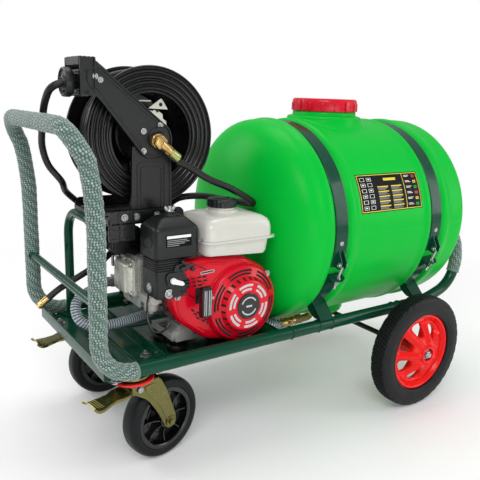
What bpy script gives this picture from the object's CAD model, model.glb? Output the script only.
"""A motor sprayer cart: tank, engine, pump and hose reel on a tube frame.

It stands on z = 0. The big wheels and the tank are at the front (+x), the push handle and the
casters at the rear (-x). The near side is -y. Shapes are given in millimetres.
"""
from math import (asin, atan2, cos, degrees, exp, floor, hypot, pi, radians as rad, sin, sqrt, tan,
                  tau)

import bmesh
import bpy
from mathutils import Matrix, Vector


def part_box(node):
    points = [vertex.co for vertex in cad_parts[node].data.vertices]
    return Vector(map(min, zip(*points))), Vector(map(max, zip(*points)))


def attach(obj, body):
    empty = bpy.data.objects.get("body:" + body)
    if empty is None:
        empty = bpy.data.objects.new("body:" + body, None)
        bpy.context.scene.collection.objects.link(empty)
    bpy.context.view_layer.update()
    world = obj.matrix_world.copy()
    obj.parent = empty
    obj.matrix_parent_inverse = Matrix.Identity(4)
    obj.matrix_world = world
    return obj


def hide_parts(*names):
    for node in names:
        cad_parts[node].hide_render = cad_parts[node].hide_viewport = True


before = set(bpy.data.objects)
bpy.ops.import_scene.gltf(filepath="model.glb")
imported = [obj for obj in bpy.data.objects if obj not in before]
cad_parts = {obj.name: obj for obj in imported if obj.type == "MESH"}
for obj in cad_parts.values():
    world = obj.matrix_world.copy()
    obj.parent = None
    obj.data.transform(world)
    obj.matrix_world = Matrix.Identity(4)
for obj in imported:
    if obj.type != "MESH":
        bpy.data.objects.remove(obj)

# ------------------------------------------------------------------ shared sizes
RAIL_Y, RAIL_Z, TUBE_R = 235, 263, 16
HANDLE_X, REAR_BEND_R = -456, 78
TANK_Z, TANK_R, TANK_X0, TANK_X1 = 512, 282.6, 8, 720.5
STRAPS = (175.5, 546.8)                        # x of each strap's middle
LID_X = 340
WHEEL_X, WHEEL_Y, WHEEL_R = 457, 315, 163
CASTER_X, CASTER_Y, CASTER_R, TRAIL = -362, 190, 100, 82
REEL = REEL_X, REEL_Z = -251, 755              # x and z of the reel's spindle
CRANK = CRANK_X, CRANK_Z = -70, 357            # x and z of the crankshaft
TRAY_Z = 218
UP, DOWN, NEAR, FAR, REAR, FRONT = (0, 0, 1), (0, 0, -1), (0, -1, 0), (0, 1, 0), (-1, 0, 0), (1, 0, 0)

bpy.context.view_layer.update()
axle_lo, axle_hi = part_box("axle")
SHIFT_X = WHEEL_X - 500 * (axle_lo.x + axle_hi.x)      # brings the wheel axle onto the CAD axle


def metres(point):
    """A millimetre point in scene units and at the CAD's place."""
    return ((point[0] - SHIFT_X) / 1000, point[1] / 1000, point[2] / 1000)


# ------------------------------------------------------------------ shader helpers
def linear(colour):
    """Linear RGB from a 0xRRGGBB screen colour."""
    out = []
    for shift in (16, 8, 0):
        value = ((colour >> shift) & 255) / 255
        out.append(value / 12.92 if value <= 0.04045 else ((value + 0.055) / 1.055) ** 2.4)
    return out


def rgba(colour):
    return (*linear(colour), 1)


class Nodes:
    """Adds nodes to a tree. Each input takes a socket or a plain value."""

    def __init__(self, tree):
        self.tree = tree

    def feed(self, target, source):
        if isinstance(source, bpy.types.NodeSocket):
            self.tree.links.new(source, target)
        else:
            target.default_value = source

    def add(self, kind, inputs=(), **properties):
        new = self.tree.nodes.new("ShaderNode" + kind)
        for name, value in properties.items():
            setattr(new, name, value)
        for key, value in dict(inputs).items():
            self.feed(new.inputs[key], value)
        return new

    def noise(self, coords, scale, detail, roughness=0.5):
        return self.add("TexNoise", {"Vector": coords, "Scale": scale, "Detail": detail,
                                     "Roughness": roughness}).outputs["Fac"]

    def ramp(self, value, start, end, low=0, high=1):
        """Maps start..end to low..high."""
        return self.add("MapRange", {"Value": value, "From Min": start, "From Max": end,
                                     "To Min": low, "To Max": high}).outputs["Result"]

    def math(self, operation, *values, clamp=False):
        new = self.add("Math", enumerate(values), operation=operation, use_clamp=clamp)
        return new.outputs[0]

    def mix(self, first, second, factor):
        return self.add("Mix", {6: first, 7: second, 0: factor}, data_type="RGBA").outputs[2]

    def bump(self, height, strength, distance, normal):
        inputs = {"Height": height, "Strength": strength, "Distance": distance}
        if normal:
            inputs["Normal"] = normal
        return self.add("Bump", inputs).outputs["Normal"]


def surface_colour(nodes, coords, colour, var, var_scale, spots, edge, dust):
    """Drifting base colour, then spots, worn edges and dust on the faces that look up."""
    drift = nodes.noise(coords, scale=var_scale, detail=5, roughness=0.6)
    shade = nodes.ramp(drift, start=0.3, end=0.7, low=1 - var, high=1 + var)
    result = nodes.add("VectorMath", {0: colour, "Scale": shade},
                       operation="SCALE").outputs["Vector"]
    if spots:
        spot_colour, scale, start, end = spots
        patches = nodes.noise(coords, scale=scale, detail=8, roughness=0.7)
        result = nodes.mix(result, rgba(spot_colour), nodes.ramp(patches, start, end))
    if edge:
        edge_colour, amount = edge
        geometry = nodes.add("NewGeometry")
        sharp = nodes.ramp(geometry.outputs["Pointiness"], start=0.53, end=0.62)
        breakup = nodes.ramp(nodes.noise(coords, scale=160, detail=6), start=0.45, end=0.7)
        worn = nodes.math("MULTIPLY", nodes.math("MULTIPLY", sharp, breakup), amount)
        result = nodes.mix(result, rgba(edge_colour), worn)
    if dust:
        normal = nodes.add("SeparateXYZ", {0: nodes.add("NewGeometry").outputs["Normal"]})
        patches = nodes.noise(coords, scale=35, detail=7)
        settled = nodes.math("MULTIPLY", normal.outputs["Z"], patches, clamp=True)
        settled = nodes.math("MULTIPLY", settled, dust, clamp=True)
        result = nodes.mix(result, (0.45, 0.43, 0.40, 1), settled)
    return result


def material(name, colour, rough=0.4, metal=0, coat=0, var=0.08, var_scale=9,
             spots=None, rough_var=0.08, grain=None, dents=None, edge=None, dust=0, sheen=0,
             spec=0.5, trans=0, subsurface=0):
    """One procedural material.

    colour is 0xRRGGBB or linear RGB; None leaves the base colour to the caller.
    var and var_scale are the amount and scale of the colour drift, rough_var the roughness drift.
    grain (fine) and dents (shallow) are bumps, each (scale, strength).
    spots is (colour, scale, start, end) of a second colour, edge (colour, amount) of wear.
    """
    mat = bpy.data.materials.new(name)
    mat.use_nodes = True
    nodes = Nodes(mat.node_tree)
    shader = mat.node_tree.nodes["Principled BSDF"].inputs
    coords = nodes.add("TexCoord").outputs["Object"]
    shader["Metallic"].default_value = metal
    shader["Coat Weight"].default_value = coat
    shader["Coat Roughness"].default_value = 0.08
    shader["Specular IOR Level"].default_value = spec
    shader["Sheen Weight"].default_value = sheen
    shader["Transmission Weight"].default_value = trans
    if subsurface:
        shader["Subsurface Weight"].default_value = subsurface
        shader["Subsurface Radius"].default_value = (0.02, 0.02, 0.02)
    if colour is not None:
        if isinstance(colour, int):
            colour = linear(colour)
        nodes.feed(shader["Base Color"], surface_colour(
            nodes, coords, colour, var, var_scale, spots, edge, dust))
    drift = nodes.noise(coords, scale=var_scale * 5, detail=6, roughness=0.65)
    nodes.feed(shader["Roughness"], nodes.ramp(
        drift, start=0.3, end=0.7, low=max(0.03, rough - rough_var), high=rough + rough_var))
    normal = None
    if dents:
        height = nodes.noise(coords, scale=dents[0], detail=2)
        normal = nodes.bump(height, strength=dents[1], distance=0.01, normal=normal)
    if grain:
        height = nodes.noise(coords, scale=grain[0], detail=3)
        normal = nodes.bump(height, strength=grain[1], distance=0.0006, normal=normal)
    if normal:
        nodes.feed(shader["Normal"], normal)
    return mat


def spiral(nodes, pitch):
    """A value that grows by one per pitch (metres) along a tube and by one per turn round it."""
    uv = nodes.add("SeparateXYZ", {0: nodes.add("UVMap").outputs["UV"]})
    along = nodes.math("MULTIPLY", uv.outputs["Y"], 1 / pitch)
    return nodes.math("ADD", along, uv.outputs["X"])


def stripes(nodes, value):
    """0 to 0.5 and back for each unit of value."""
    return nodes.math("PINGPONG", nodes.math("FRACT", value), 0.5)


def hose_material():
    """Pale translucent hose wall with a brighter spiral."""
    mat = material("spiral_hose", None, rough=0.22, coat=0.4, trans=0.25)
    nodes = Nodes(mat.node_tree)
    bright = nodes.ramp(stripes(nodes, spiral(nodes, pitch=0.0062)), start=0.18, end=0.34)
    nodes.feed(mat.node_tree.nodes["Principled BSDF"].inputs["Base Color"],
               nodes.mix(rgba(0x4F6478), rgba(0xC9D2D4), bright))
    return mat


def knit_material():
    """Pale yarn with teal gaps between the strands and slow diagonal colour bands."""
    mat = material("knit_cover", 0xAEB9B1, rough=0.88, var=0.14, var_scale=30,
                   grain=(1400, 0.9), sheen=0.35, rough_var=0.05)
    nodes = Nodes(mat.node_tree)
    shader = mat.node_tree.nodes["Principled BSDF"].inputs
    shader["Sheen Roughness"].default_value = 0.5
    yarn_colour = shader["Base Color"].links[0].from_socket
    height = nodes.add("Attribute", attribute_name="knit").outputs["Fac"]
    yarn = nodes.mix(rgba(0x33564E), yarn_colour, nodes.ramp(height, start=0.25, end=0.8))
    coords = nodes.add("TexCoord").outputs["Object"]
    wander = nodes.noise(coords, scale=30, detail=4)
    bands = stripes(nodes, nodes.math("MULTIPLY_ADD", wander, 0.5, spiral(nodes, pitch=0.062)))
    tint = nodes.ramp(bands, start=0.10, end=0.30, low=0.28, high=0)
    nodes.feed(shader["Base Color"], nodes.mix(yarn, rgba(0x4C6F66), tint))
    return mat


# ------------------------------------------------------------------ materials
GREEN = material(
    "green_frame_paint", 0x04402D, rough=0.2, coat=0.1, var=0.06,
    dents=(60, 0.02), grain=(700, 0.06), edge=(0x2E5A4A, 0.3), dust=0.003, spec=0.18)
TANK_GREEN = material(
    "tank_plastic_green", 0x00B436, rough=0.34, var=0.035, var_scale=3.5,
    dents=(7, 0.3), grain=(1500, 0.08), subsurface=0.02, spec=0.1, rough_var=0.05)
LID_RED = material(
    "red_plastic", 0xD0102A, rough=0.26, coat=0.1, var=0.05,
    grain=(1200, 0.10), edge=(0xF05A50, 0.35), subsurface=0.04, spec=0.22)
RIM_RED = material(
    "red_rim_plastic", 0xE41210, rough=0.24, coat=0.1, var=0.05,
    grain=(1100, 0.08), edge=(0xF04A3A, 0.3), subsurface=0.03, spec=0.2)
ENGINE_RED = material(
    "red_engine_paint", 0xCE0420, rough=0.2, coat=0.22, var=0.06,
    grain=(800, 0.06), dents=(80, 0.02), edge=(0xA84A50, 0.25), spec=0.2)
BLACK = material(
    "black_satin_paint", 0x060708, rough=0.3, coat=0.12, var=0.15,
    grain=(1000, 0.12), edge=(0x2C2F32, 0.4), dust=0.008, spec=0.42)
SATIN = material(
    "black_plastic_satin", 0x0D0F11, rough=0.38, var=0.14,
    grain=(1600, 0.25), edge=(0x3A3D40, 0.3), dust=0.008, spec=0.42)
GLOSS = material(
    "black_plastic_gloss", 0x070809, rough=0.2, coat=0.25, var=0.1,
    grain=(1300, 0.06), edge=(0x303234, 0.3))
GRIP_GREY = material("dark_grey_grip", 0x2D2F31, rough=0.5, var=0.14, grain=(1300, 0.5))
RUBBER = material(
    "hose_rubber", 0x08090A, rough=0.42, var=0.2, grain=(900, 0.3),
    dents=(40, 0.05), edge=(0x2A2C2E, 0.2), dust=0.01, spec=0.42)
TYRE = material(
    "tyre_rubber", 0x0D0F11, rough=0.5, var=0.22, var_scale=22, grain=(1100, 0.4),
    edge=(0x3A3B3B, 0.3), dust=0.02, spots=(0x1A1C1D, 60, 0.56, 0.78), spec=0.25)
CASTER_TYRE = material(
    "caster_rubber", 0x0F1113, rough=0.42, var=0.18, var_scale=22,
    grain=(1100, 0.3), edge=(0x3C3D40, 0.25), dust=0.02, spots=(0x1A1C1E, 70, 0.58, 0.8),
    spec=0.2)
ZINC = material(
    "yellow_zinc", 0x757042, rough=0.22, metal=0.9, var=0.08, var_scale=16,
    grain=(700, 0.03), spots=(0x5C5636, 26, 0.54, 0.8), edge=(0xD8D0A8, 0.4),
    dents=(60, 0.01))
STEEL = material(
    "bright_steel", 0xA9ABAC, rough=0.28, metal=0.95, var=0.08, grain=(900, 0.15),
    rough_var=0.1, edge=(0xF2F2F0, 0.5))
ALLOY = material(
    "cast_alloy", 0xB4B4AF, rough=0.42, metal=0.4, var=0.1, var_scale=18,
    grain=(520, 0.55), dents=(70, 0.08), spots=(0x7C7A72, 34, 0.58, 0.8),
    edge=(0xE8E6E0, 0.45))
COVER_ALLOY = material(
    "cream_alloy_cover", 0xBDBDB2, rough=0.3, metal=0.5, var=0.07,
    grain=(500, 0.35), edge=(0xEFEDE4, 0.4))
BRASS = material(
    "brass_fitting", 0xBFA067, rough=0.24, metal=0.95, var=0.12, var_scale=25,
    grain=(800, 0.18), spots=(0x7C5A24, 45, 0.56, 0.8), edge=(0xF3D48A, 0.5))
BRONZE = material(
    "elbow_bronze", 0x8D8049, rough=0.5, metal=0.5, var=0.12, grain=(600, 0.5),
    edge=(0xC9BC86, 0.4))
IVORY = material(
    "fuel_tank_ivory", 0xC9C8C0, rough=0.22, coat=0.25, var=0.025,
    var_scale=5, grain=(1200, 0.08), subsurface=0.12, spots=(0xE3DCC5, 6, 0.55, 0.8))
FOOT_ALLOY = material(
    "bare_cast_foot", 0xD8D8D2, rough=0.4, metal=0.15, var=0.08, var_scale=20,
    grain=(520, 0.3), edge=(0xF0EEE8, 0.35))
WHITE = material(
    "white_plastic", 0xE8E8E4, rough=0.35, var=0.04, grain=(1200, 0.15))
DARK_STEEL = material(
    "dark_axle_steel", 0x2B211C, rough=0.34, metal=0.7, var=0.25,
    var_scale=30, grain=(700, 0.2), spots=(0x5A3A26, 60, 0.6, 0.8))
FERRULE = material(
    "zinc_green_ferrule", 0x9DA46A, rough=0.28, metal=0.9, var=0.1,
    grain=(800, 0.2), edge=(0xE5E8C4, 0.5))
PALE_ZINC = material(
    "cream_zinc_plate", 0xC9CCBE, rough=0.32, metal=0.75, var=0.08,
    grain=(800, 0.2), edge=(0xF2F4EA, 0.4))
LABEL_BLACK = material(
    "label_black", 0x030303, rough=0.45, var=0.08, grain=(1400, 0.05),
    spec=0.12)
LABEL_WHITE = material(
    "label_white", 0xE6E6E2, rough=0.35, var=0.05, grain=(1400, 0.1))
LABEL_YELLOW = material("label_yellow", 0xD9C514, rough=0.35, var=0.05, grain=(1400, 0.1))
LABEL_GREY = material("label_grey", 0x8C8F92, rough=0.4, var=0.05, grain=(1400, 0.1))
HANDLE_RED = material(
    "red_handle_plastic", 0xC4141B, rough=0.36, var=0.08, grain=(900, 0.25),
    edge=(0xE87A70, 0.35))
RING_RED = material("red_dust_ring", 0xE01E22, rough=0.3, var=0.05, grain=(900, 0.1))
SILVER = material(
    "silver_emblem", 0xC4C6C8, rough=0.3, metal=0.9, var=0.04, grain=(900, 0.1))
OPENING = material(
    "dark_opening", 0x050505, rough=0.8, var=0.2, grain=(600, 0.2))
HOSE = hose_material()
KNIT = knit_material()


# ------------------------------------------------------------------ outlines and paths
def place(axis, along, u, v):
    """A point at `along` on an axis; u and v are the other two coordinates in x, y, z order."""
    return {"x": (along, u, v), "y": (u, along, v), "z": (u, v, along)}[axis]


def at(axis, outline, along):
    return [place(axis, along, u, v) for u, v in outline]


def circle(u, v, radius, n, start=0, end=None):
    """n points of a full circle, or n + 1 points of an arc, in degrees."""
    count = n if end is None else n + 1
    sweep = 360 if end is None else end - start
    angles = [rad(start + sweep * i / n) for i in range(count)]
    return [(u + radius * cos(a), v + radius * sin(a)) for a in angles]


def rounded(points, radius, steps=4):
    """Polygon with its corners rounded. radius is one value or one per corner."""
    out, n = [], len(points)
    for i in range(n):
        before, corner, after = (Vector(points[k]) for k in (i - 1, i, (i + 1) % n))
        back, ahead = before - corner, after - corner
        want = radius[i] if isinstance(radius, (list, tuple)) else radius
        cut = min(want, back.length * 0.49, ahead.length * 0.49)
        if cut < 0.01:
            out.append(tuple(corner))
            continue
        first = corner + back.normalized() * cut
        last = corner + ahead.normalized() * cut
        for j in range(steps + 1):
            t = j / steps
            point = (1 - t) ** 2 * first + 2 * (1 - t) * t * corner + t * t * last
            out.append((point.x, point.y))
    return out


def rect(u0, u1, v0, v1, radius, steps):
    return rounded([(u0, v0), (u1, v0), (u1, v1), (u0, v1)], radius, steps)


def inset(outline, depth):
    """The outline moved inwards by depth."""
    n, out = len(outline), []
    if sum(outline[i - 1][0] * outline[i][1] - outline[i][0] * outline[i - 1][1]
           for i in range(n)) < 0:
        depth = -depth
    for i in range(n):
        before, corner, after = (Vector(outline[k]) for k in (i - 1, i, (i + 1) % n))
        edge1, edge2 = corner - before, after - corner
        if edge1.length < 1e-6 or edge2.length < 1e-6:
            continue
        normal1 = Vector((-edge1.y, edge1.x)).normalized()
        normal2 = Vector((-edge2.y, edge2.x)).normalized()
        middle = normal1 + normal2
        if middle.length < 1e-6:
            continue
        middle.normalize()
        out.append(tuple(corner + middle * depth / max(0.4, middle.dot(normal1))))
    return out


def smooth_path(points, step):
    """Centripetal Catmull-Rom curve through the points, sampled about every step mm."""
    knots = [Vector(p) for p in points]
    knots = [knots[0] * 2 - knots[1]] + knots + [knots[-1] * 2 - knots[-2]]
    out = []
    for p0, p1, p2, p3 in zip(knots, knots[1:], knots[2:], knots[3:]):
        t0 = 0.0
        t1 = t0 + max((p1 - p0).length, 1e-6) ** 0.5
        t2 = t1 + max((p2 - p1).length, 1e-6) ** 0.5
        t3 = t2 + max((p3 - p2).length, 1e-6) ** 0.5
        count = max(1, int(round((p2 - p1).length / step)))
        for j in range(count):
            t = t1 + (t2 - t1) * j / count
            a1 = p0 * ((t1 - t) / (t1 - t0)) + p1 * ((t - t0) / (t1 - t0))
            a2 = p1 * ((t2 - t) / (t2 - t1)) + p2 * ((t - t1) / (t2 - t1))
            a3 = p2 * ((t3 - t) / (t3 - t2)) + p3 * ((t - t2) / (t3 - t2))
            b1 = a1 * ((t2 - t) / (t2 - t0)) + a2 * ((t - t0) / (t2 - t0))
            b2 = a2 * ((t3 - t) / (t3 - t1)) + a3 * ((t - t1) / (t3 - t1))
            out.append(tuple(b1 * ((t2 - t) / (t2 - t1)) + b2 * ((t - t1) / (t2 - t1))))
    out.append(tuple(knots[-2]))
    return out


def fillet_path(points, radii, step):
    """Straight runs joined by round bends, one radius per bend."""
    knots = [Vector(p) for p in points]
    out = [tuple(knots[0])]
    for before, corner, after, radius in zip(knots, knots[1:], knots[2:], radii):
        back, ahead = (before - corner).normalized(), (after - corner).normalized()
        angle = back.angle(ahead)
        if pi - angle < 0.02:
            out.append(tuple(corner))
            continue
        cut = min(radius / tan(angle / 2), (before - corner).length * 0.49,
                  (after - corner).length * 0.49)
        bend = cut * tan(angle / 2)
        centre = corner + (back + ahead).normalized() * (bend / sin(angle / 2))
        arm1 = (corner + back * cut) - centre
        arm2 = (corner + ahead * cut) - centre
        sweep = arm1.angle(arm2)
        count = max(3, int(sweep * bend / step))
        axis = arm1.cross(arm2).normalized()
        for j in range(count + 1):
            out.append(tuple(centre + Matrix.Rotation(sweep * j / count, 3, axis) @ arm1))
    out.append(tuple(knots[-1]))
    return out


def resample(path, step):
    points = [Vector(p) for p in path]
    out = [points[0]]
    for start, end in zip(points, points[1:]):
        count = max(1, int(round((end - start).length / step)))
        out += [start.lerp(end, (j + 1) / count) for j in range(count)]
    return [tuple(p) for p in out]


def both_sides(path):
    """A near-side path continued by its mirror image on the far side."""
    return path + [(x, -y, z) for x, y, z in reversed(path)]


def aim(point, direction):
    """Matrix that moves the origin to point and turns +z to direction."""
    turn = Vector(direction).normalized().to_track_quat("Z", "Y").to_matrix().to_4x4()
    return Matrix.Translation(Vector(point)) @ turn


def ease(t):
    t = min(1.0, max(0.0, t))
    return t * t * (3 - 2 * t)


# ------------------------------------------------------------------ mesh builder
class Part:
    """A mesh in millimetres that grows shape by shape until make() turns it into an object.

    A shape lies along an axis; u and v place it on the other two (see place). mat is the
    number of the material, n the segments round, chamfer the bevel of the ends.
    """

    def __init__(self):
        self.verts, self.faces, self.mats, self.heights = [], [], [], []
        self.uvs = {}                          # face number: its UV corners

    def add(self, verts, faces, mat=0, uvs=None, heights=None):
        first = len(self.verts)
        self.verts += [tuple(p) for p in verts]
        self.heights += heights or [0.0] * len(verts)
        for i, face in enumerate(faces):
            if uvs:
                self.uvs[len(self.faces)] = uvs[i]
            self.faces.append([first + k for k in face])
            self.mats.append(mat)
        return self

    def moved(self, matrix):
        self.verts = [tuple(matrix @ Vector(p)) for p in self.verts]
        return self

    def mirrored(self):
        self.verts = [(x, -y, z) for x, y, z in self.verts]
        return self

    def merge(self, other, mat=None):
        first, first_face = len(self.verts), len(self.faces)
        self.verts += other.verts
        self.heights += other.heights
        self.faces += [[first + k for k in face] for face in other.faces]
        self.mats += [m if mat is None else mat for m in other.mats]
        for i, corners in other.uvs.items():
            self.uvs[first_face + i] = corners
        return self

    def lathe(self, axis, profile, n, u=0, v=0, mat=0, shape=None):
        """Turned profile of (radius, along). shape(radius, along, angle) may change a radius."""
        verts, rings = [], []
        for radius, along in profile:
            if radius < 1e-6:
                rings.append([len(verts)])
                verts.append(place(axis, along, u, v))
                continue
            ring = []
            for i in range(n):
                a = rad(360.0 * i / n)
                r = shape(radius, along, a) if shape else radius
                ring.append(len(verts))
                verts.append(place(axis, along, u + r * cos(a), v + r * sin(a)))
            rings.append(ring)
        faces = []
        for low, high in zip(rings, rings[1:]):
            if len(low) == 1 and len(high) == 1:
                continue
            for i in range(n):
                j = (i + 1) % n
                if len(low) == 1:
                    faces.append([low[0], high[i], high[j]])
                elif len(high) == 1:
                    faces.append([low[i], high[0], low[j]])
                else:
                    faces.append([low[i], high[i], high[j], low[j]])
        return self.add(verts, faces, mat)

    def rod(self, axis, radius, start, end, u, v, n=20, chamfer=0.6, mat=0):
        c = min(chamfer, (end - start) / 3, radius / 3)
        return self.lathe(axis, [(0, start), (radius - c, start), (radius, start + c),
                                 (radius, end - c), (radius - c, end), (0, end)], n, u, v, mat)

    def ring(self, axis, inner, outer, start, end, u, v, n=32, chamfer=0.6, mat=0):
        c = chamfer
        return self.lathe(axis, [
            (inner, start + c), (inner + c, start), (outer - c, start), (outer, start + c),
            (outer, end - c), (outer - c, end), (inner + c, end), (inner, end - c),
            (inner, start + c)], n, u, v, mat)

    def torus(self, axis, radius, thick, along, u, v, n, steps):
        return self.lathe(axis, [(radius + thick * cos(tau * i / steps),
                                  along + thick * sin(tau * i / steps))
                                 for i in range(steps + 1)], n, u, v)

    def weld(self, axis, radius, along, u, v, bead):
        """A slightly lumpy bead of weld around a joint."""
        return self.lathe(axis, [(radius + bead * cos(tau * i / 8), along + bead * sin(tau * i / 8))
                                 for i in range(9)], 48, u, v,
                          shape=lambda r, t, a: r + 0.5 * sin(a * 19) + 0.3 * sin(a * 31 + 1))

    def plate(self, axis, outline, start, end, mat=0):
        n = len(outline)
        faces = [list(range(n)), list(range(2 * n - 1, n - 1, -1))]
        faces += [[i, i + n, (i + 1) % n + n, (i + 1) % n] for i in range(n)]
        return self.add(at(axis, outline, start) + at(axis, outline, end), faces, mat)

    def box(self, x0, x1, y0, y1, z0, z1):
        return self.plate("z", [(x0, y0), (x1, y0), (x1, y1), (x0, y1)], z0, z1)

    def loft(self, loops, caps=True, closed=False):
        """Skin over loops of equal length; closed joins the last loop to the first."""
        n, count = len(loops[0]), len(loops)
        faces = []
        for i in range(count if closed else count - 1):
            a, b = i * n, ((i + 1) % count) * n
            faces += [[a + k, b + k, b + (k + 1) % n, a + (k + 1) % n] for k in range(n)]
        if caps:
            faces += [list(range(n)), list(range(count * n - 1, (count - 1) * n - 1, -1))]
        return self.add([p for loop in loops for p in loop], faces)

    def stack(self, axis, u0, u1, v0, v1, levels):
        """Loft of rounded rectangles; levels are (along, inset, corner radius)."""
        return self.loft([at(axis, rect(u0 + d, u1 - d, v0 + d, v1 - d, r, 6), t)
                          for t, d, r in levels])

    def rim(self, outline, width, axis, start, end):
        """A raised band of the given width along the inside of an outline."""
        inner = inset(outline, width)
        if len(inner) == len(outline):
            self.loft([at(axis, outline, start), at(axis, outline, end), at(axis, inner, end),
                       at(axis, inner, start)], caps=False, closed=True)
        return self

    def grid(self, rows, mat=0):
        n = len(rows[0])
        faces = [[i * n + k, i * n + k + 1, (i + 1) * n + k + 1, (i + 1) * n + k]
                 for i in range(len(rows) - 1) for k in range(n - 1)]
        return self.add([p for row in rows for p in row], faces, mat)

    def tube(self, path, radius, n, caps=True, swell=None, height=None):
        """Round bar along a path; radius is one value or one per point.

        swell(length, angle) adds to the radius and height(length, angle) fills the knit attribute.
        UV x goes round and y along, in metres.
        """
        points = [Vector(p) for p in path]
        last = len(points) - 1
        tangents = [(points[min(i + 1, last)] - points[max(i - 1, 0)]).normalized()
                    for i in range(last + 1)]
        up = Vector((0, 0, 1)) if abs(tangents[0].z) < 0.9 else Vector((1, 0, 0))
        normal = (up - tangents[0] * up.dot(tangents[0])).normalized()
        length, verts, heights, lengths = 0.0, [], [], []
        for i, point in enumerate(points):
            if i:
                length += (point - points[i - 1]).length
                normal = (normal - tangents[i] * normal.dot(tangents[i])).normalized()
            side = tangents[i].cross(normal)
            base = radius[i] if isinstance(radius, (list, tuple)) else radius
            for k in range(n):
                a = tau * k / n
                r = base + (swell(length, a) if swell else 0)
                verts.append(tuple(point + (normal * cos(a) + side * sin(a)) * r))
                heights.append(height(length, a) if height else 0.0)
            lengths.append(length / 1000)
        faces, uvs = [], []
        for i in range(last):
            low, high = lengths[i], lengths[i + 1]
            for k in range(n):
                j = (k + 1) % n
                faces.append([i * n + k, i * n + j, (i + 1) * n + j, (i + 1) * n + k])
                u0, u1 = k / n, (k + 1) / n
                uvs.append([(u0, low), (u1, low), (u1, high), (u0, high)])
        if caps:
            faces += [list(range(n - 1, -1, -1)), list(range(last * n, (last + 1) * n))]
            uvs += [[(0.5, 0)] * n, [(0.5, lengths[-1])] * n]
        return self.add(verts, faces, 0, uvs, heights)

    def bolt(self, point, direction, across, height, mat=0, washer=True, shank=0, dome=False):
        """Hexagon or domed head standing on point; across is its width across flats."""
        head, z = Part(), 0
        if washer:
            head.ring("z", 0.3 * across, across * 0.95, 0, 1.4, 0, 0, 24, 0.3)
            z = 1.4
        radius, top = across / sqrt(3), z + height
        if dome:
            head.lathe("z", [(radius * 1.05, z), (radius * 1.05, z + height * 0.25),
                             (radius * 0.9, z + height * 0.62), (radius * 0.5, z + height * 0.9),
                             (0, top)], 24)
        else:
            # side, chamfered top and a shallow recess, as (scale, height) levels
            levels = ((1, z), (1, z + height * 0.84), (0.86, top), (0.5, top), (0.42, top - 0.5))
            head.loft([at("z", circle(0, 0, radius * k, 6), t) for k, t in levels])
        if shank:
            head.rod("z", radius * 0.5, -shank, 0, 0, 0, 12, 0.5)
        return self.merge(head.moved(aim(point, direction)), mat)

    def bolts(self, points, direction, across, height, **options):
        for point in points:
            self.bolt(point, direction, across, height, **options)
        return self

    def make(self, name, mats, body="chassis", slot=None, replaces=None, angle=35, bevel=0,
             segments=2, knitted=False, merge=0.02, solid=0):
        """Build the object. angle is where shading turns sharp; bevel, merge, solid are in mm."""
        mesh = bpy.data.meshes.new(name)
        mesh.from_pydata([metres(p) for p in self.verts], [], self.faces)
        mats = mats if isinstance(mats, list) else [mats]
        for mat in mats:
            mesh.materials.append(mat)
        mesh.polygons.foreach_set("material_index", self.mats)
        if self.uvs:
            layer = mesh.uv_layers.new(name="UVMap")
            for i, corners in self.uvs.items():
                for loop, uv in zip(mesh.polygons[i].loop_indices, corners):
                    layer.data[loop].uv = uv
        if knitted:
            attribute = mesh.attributes.new("knit", "FLOAT", "POINT")
            attribute.data.foreach_set("value", self.heights)
        obj = bpy.data.objects.new(name, mesh)
        bpy.context.scene.collection.objects.link(obj)
        if merge:
            bm = bmesh.new()
            bm.from_mesh(mesh)
            bmesh.ops.remove_doubles(bm, verts=bm.verts, dist=merge / 1000)
            bmesh.ops.recalc_face_normals(bm, faces=bm.faces)
            bm.to_mesh(mesh)
            bm.free()
        mesh.polygons.foreach_set("use_smooth", [True] * len(mesh.polygons))
        mesh.set_sharp_from_angle(angle=rad(angle))
        if solid:
            modifier = obj.modifiers.new("solid", "SOLIDIFY")
            modifier.thickness = solid / 1000
            modifier.offset = -1
        if bevel:
            modifier = obj.modifiers.new("bevel", "BEVEL")
            modifier.width = bevel / 1000
            modifier.segments = segments
            modifier.limit_method = "ANGLE"
            modifier.angle_limit = rad(32)
            modifier.harden_normals = True
            modifier.miter_outer = "MITER_ARC"
        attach(obj, body)
        if replaces:
            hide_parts(replaces)


# ------------------------------------------------------------------ welded frame
def rear_half(step):
    """Near half of the rear tube, from the rail to the grip; step is the bends' angle step."""
    bend_x = HANDLE_X + REAR_BEND_R
    path = [(61, -RAIL_Y, RAIL_Z), (bend_x, -RAIL_Y, RAIL_Z)]
    path += [(bend_x - REAR_BEND_R * sin(rad(a)), -RAIL_Y,
              RAIL_Z + REAR_BEND_R - REAR_BEND_R * cos(rad(a))) for a in range(step, 91, step)]
    path += [(HANDLE_X, -RAIL_Y, 600)]
    path += smooth_path([(HANDLE_X, -RAIL_Y, 600), (-463, -RAIL_Y, 675), (-472, -RAIL_Y, 722)],
                        18)[1:]
    path += [(-472 - 31 * sin(rad(a)), -RAIL_Y + 72 * (1 - cos(rad(a))), 722 + 65 * sin(rad(a)))
             for a in range(step, 91, step)]
    return path


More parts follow.
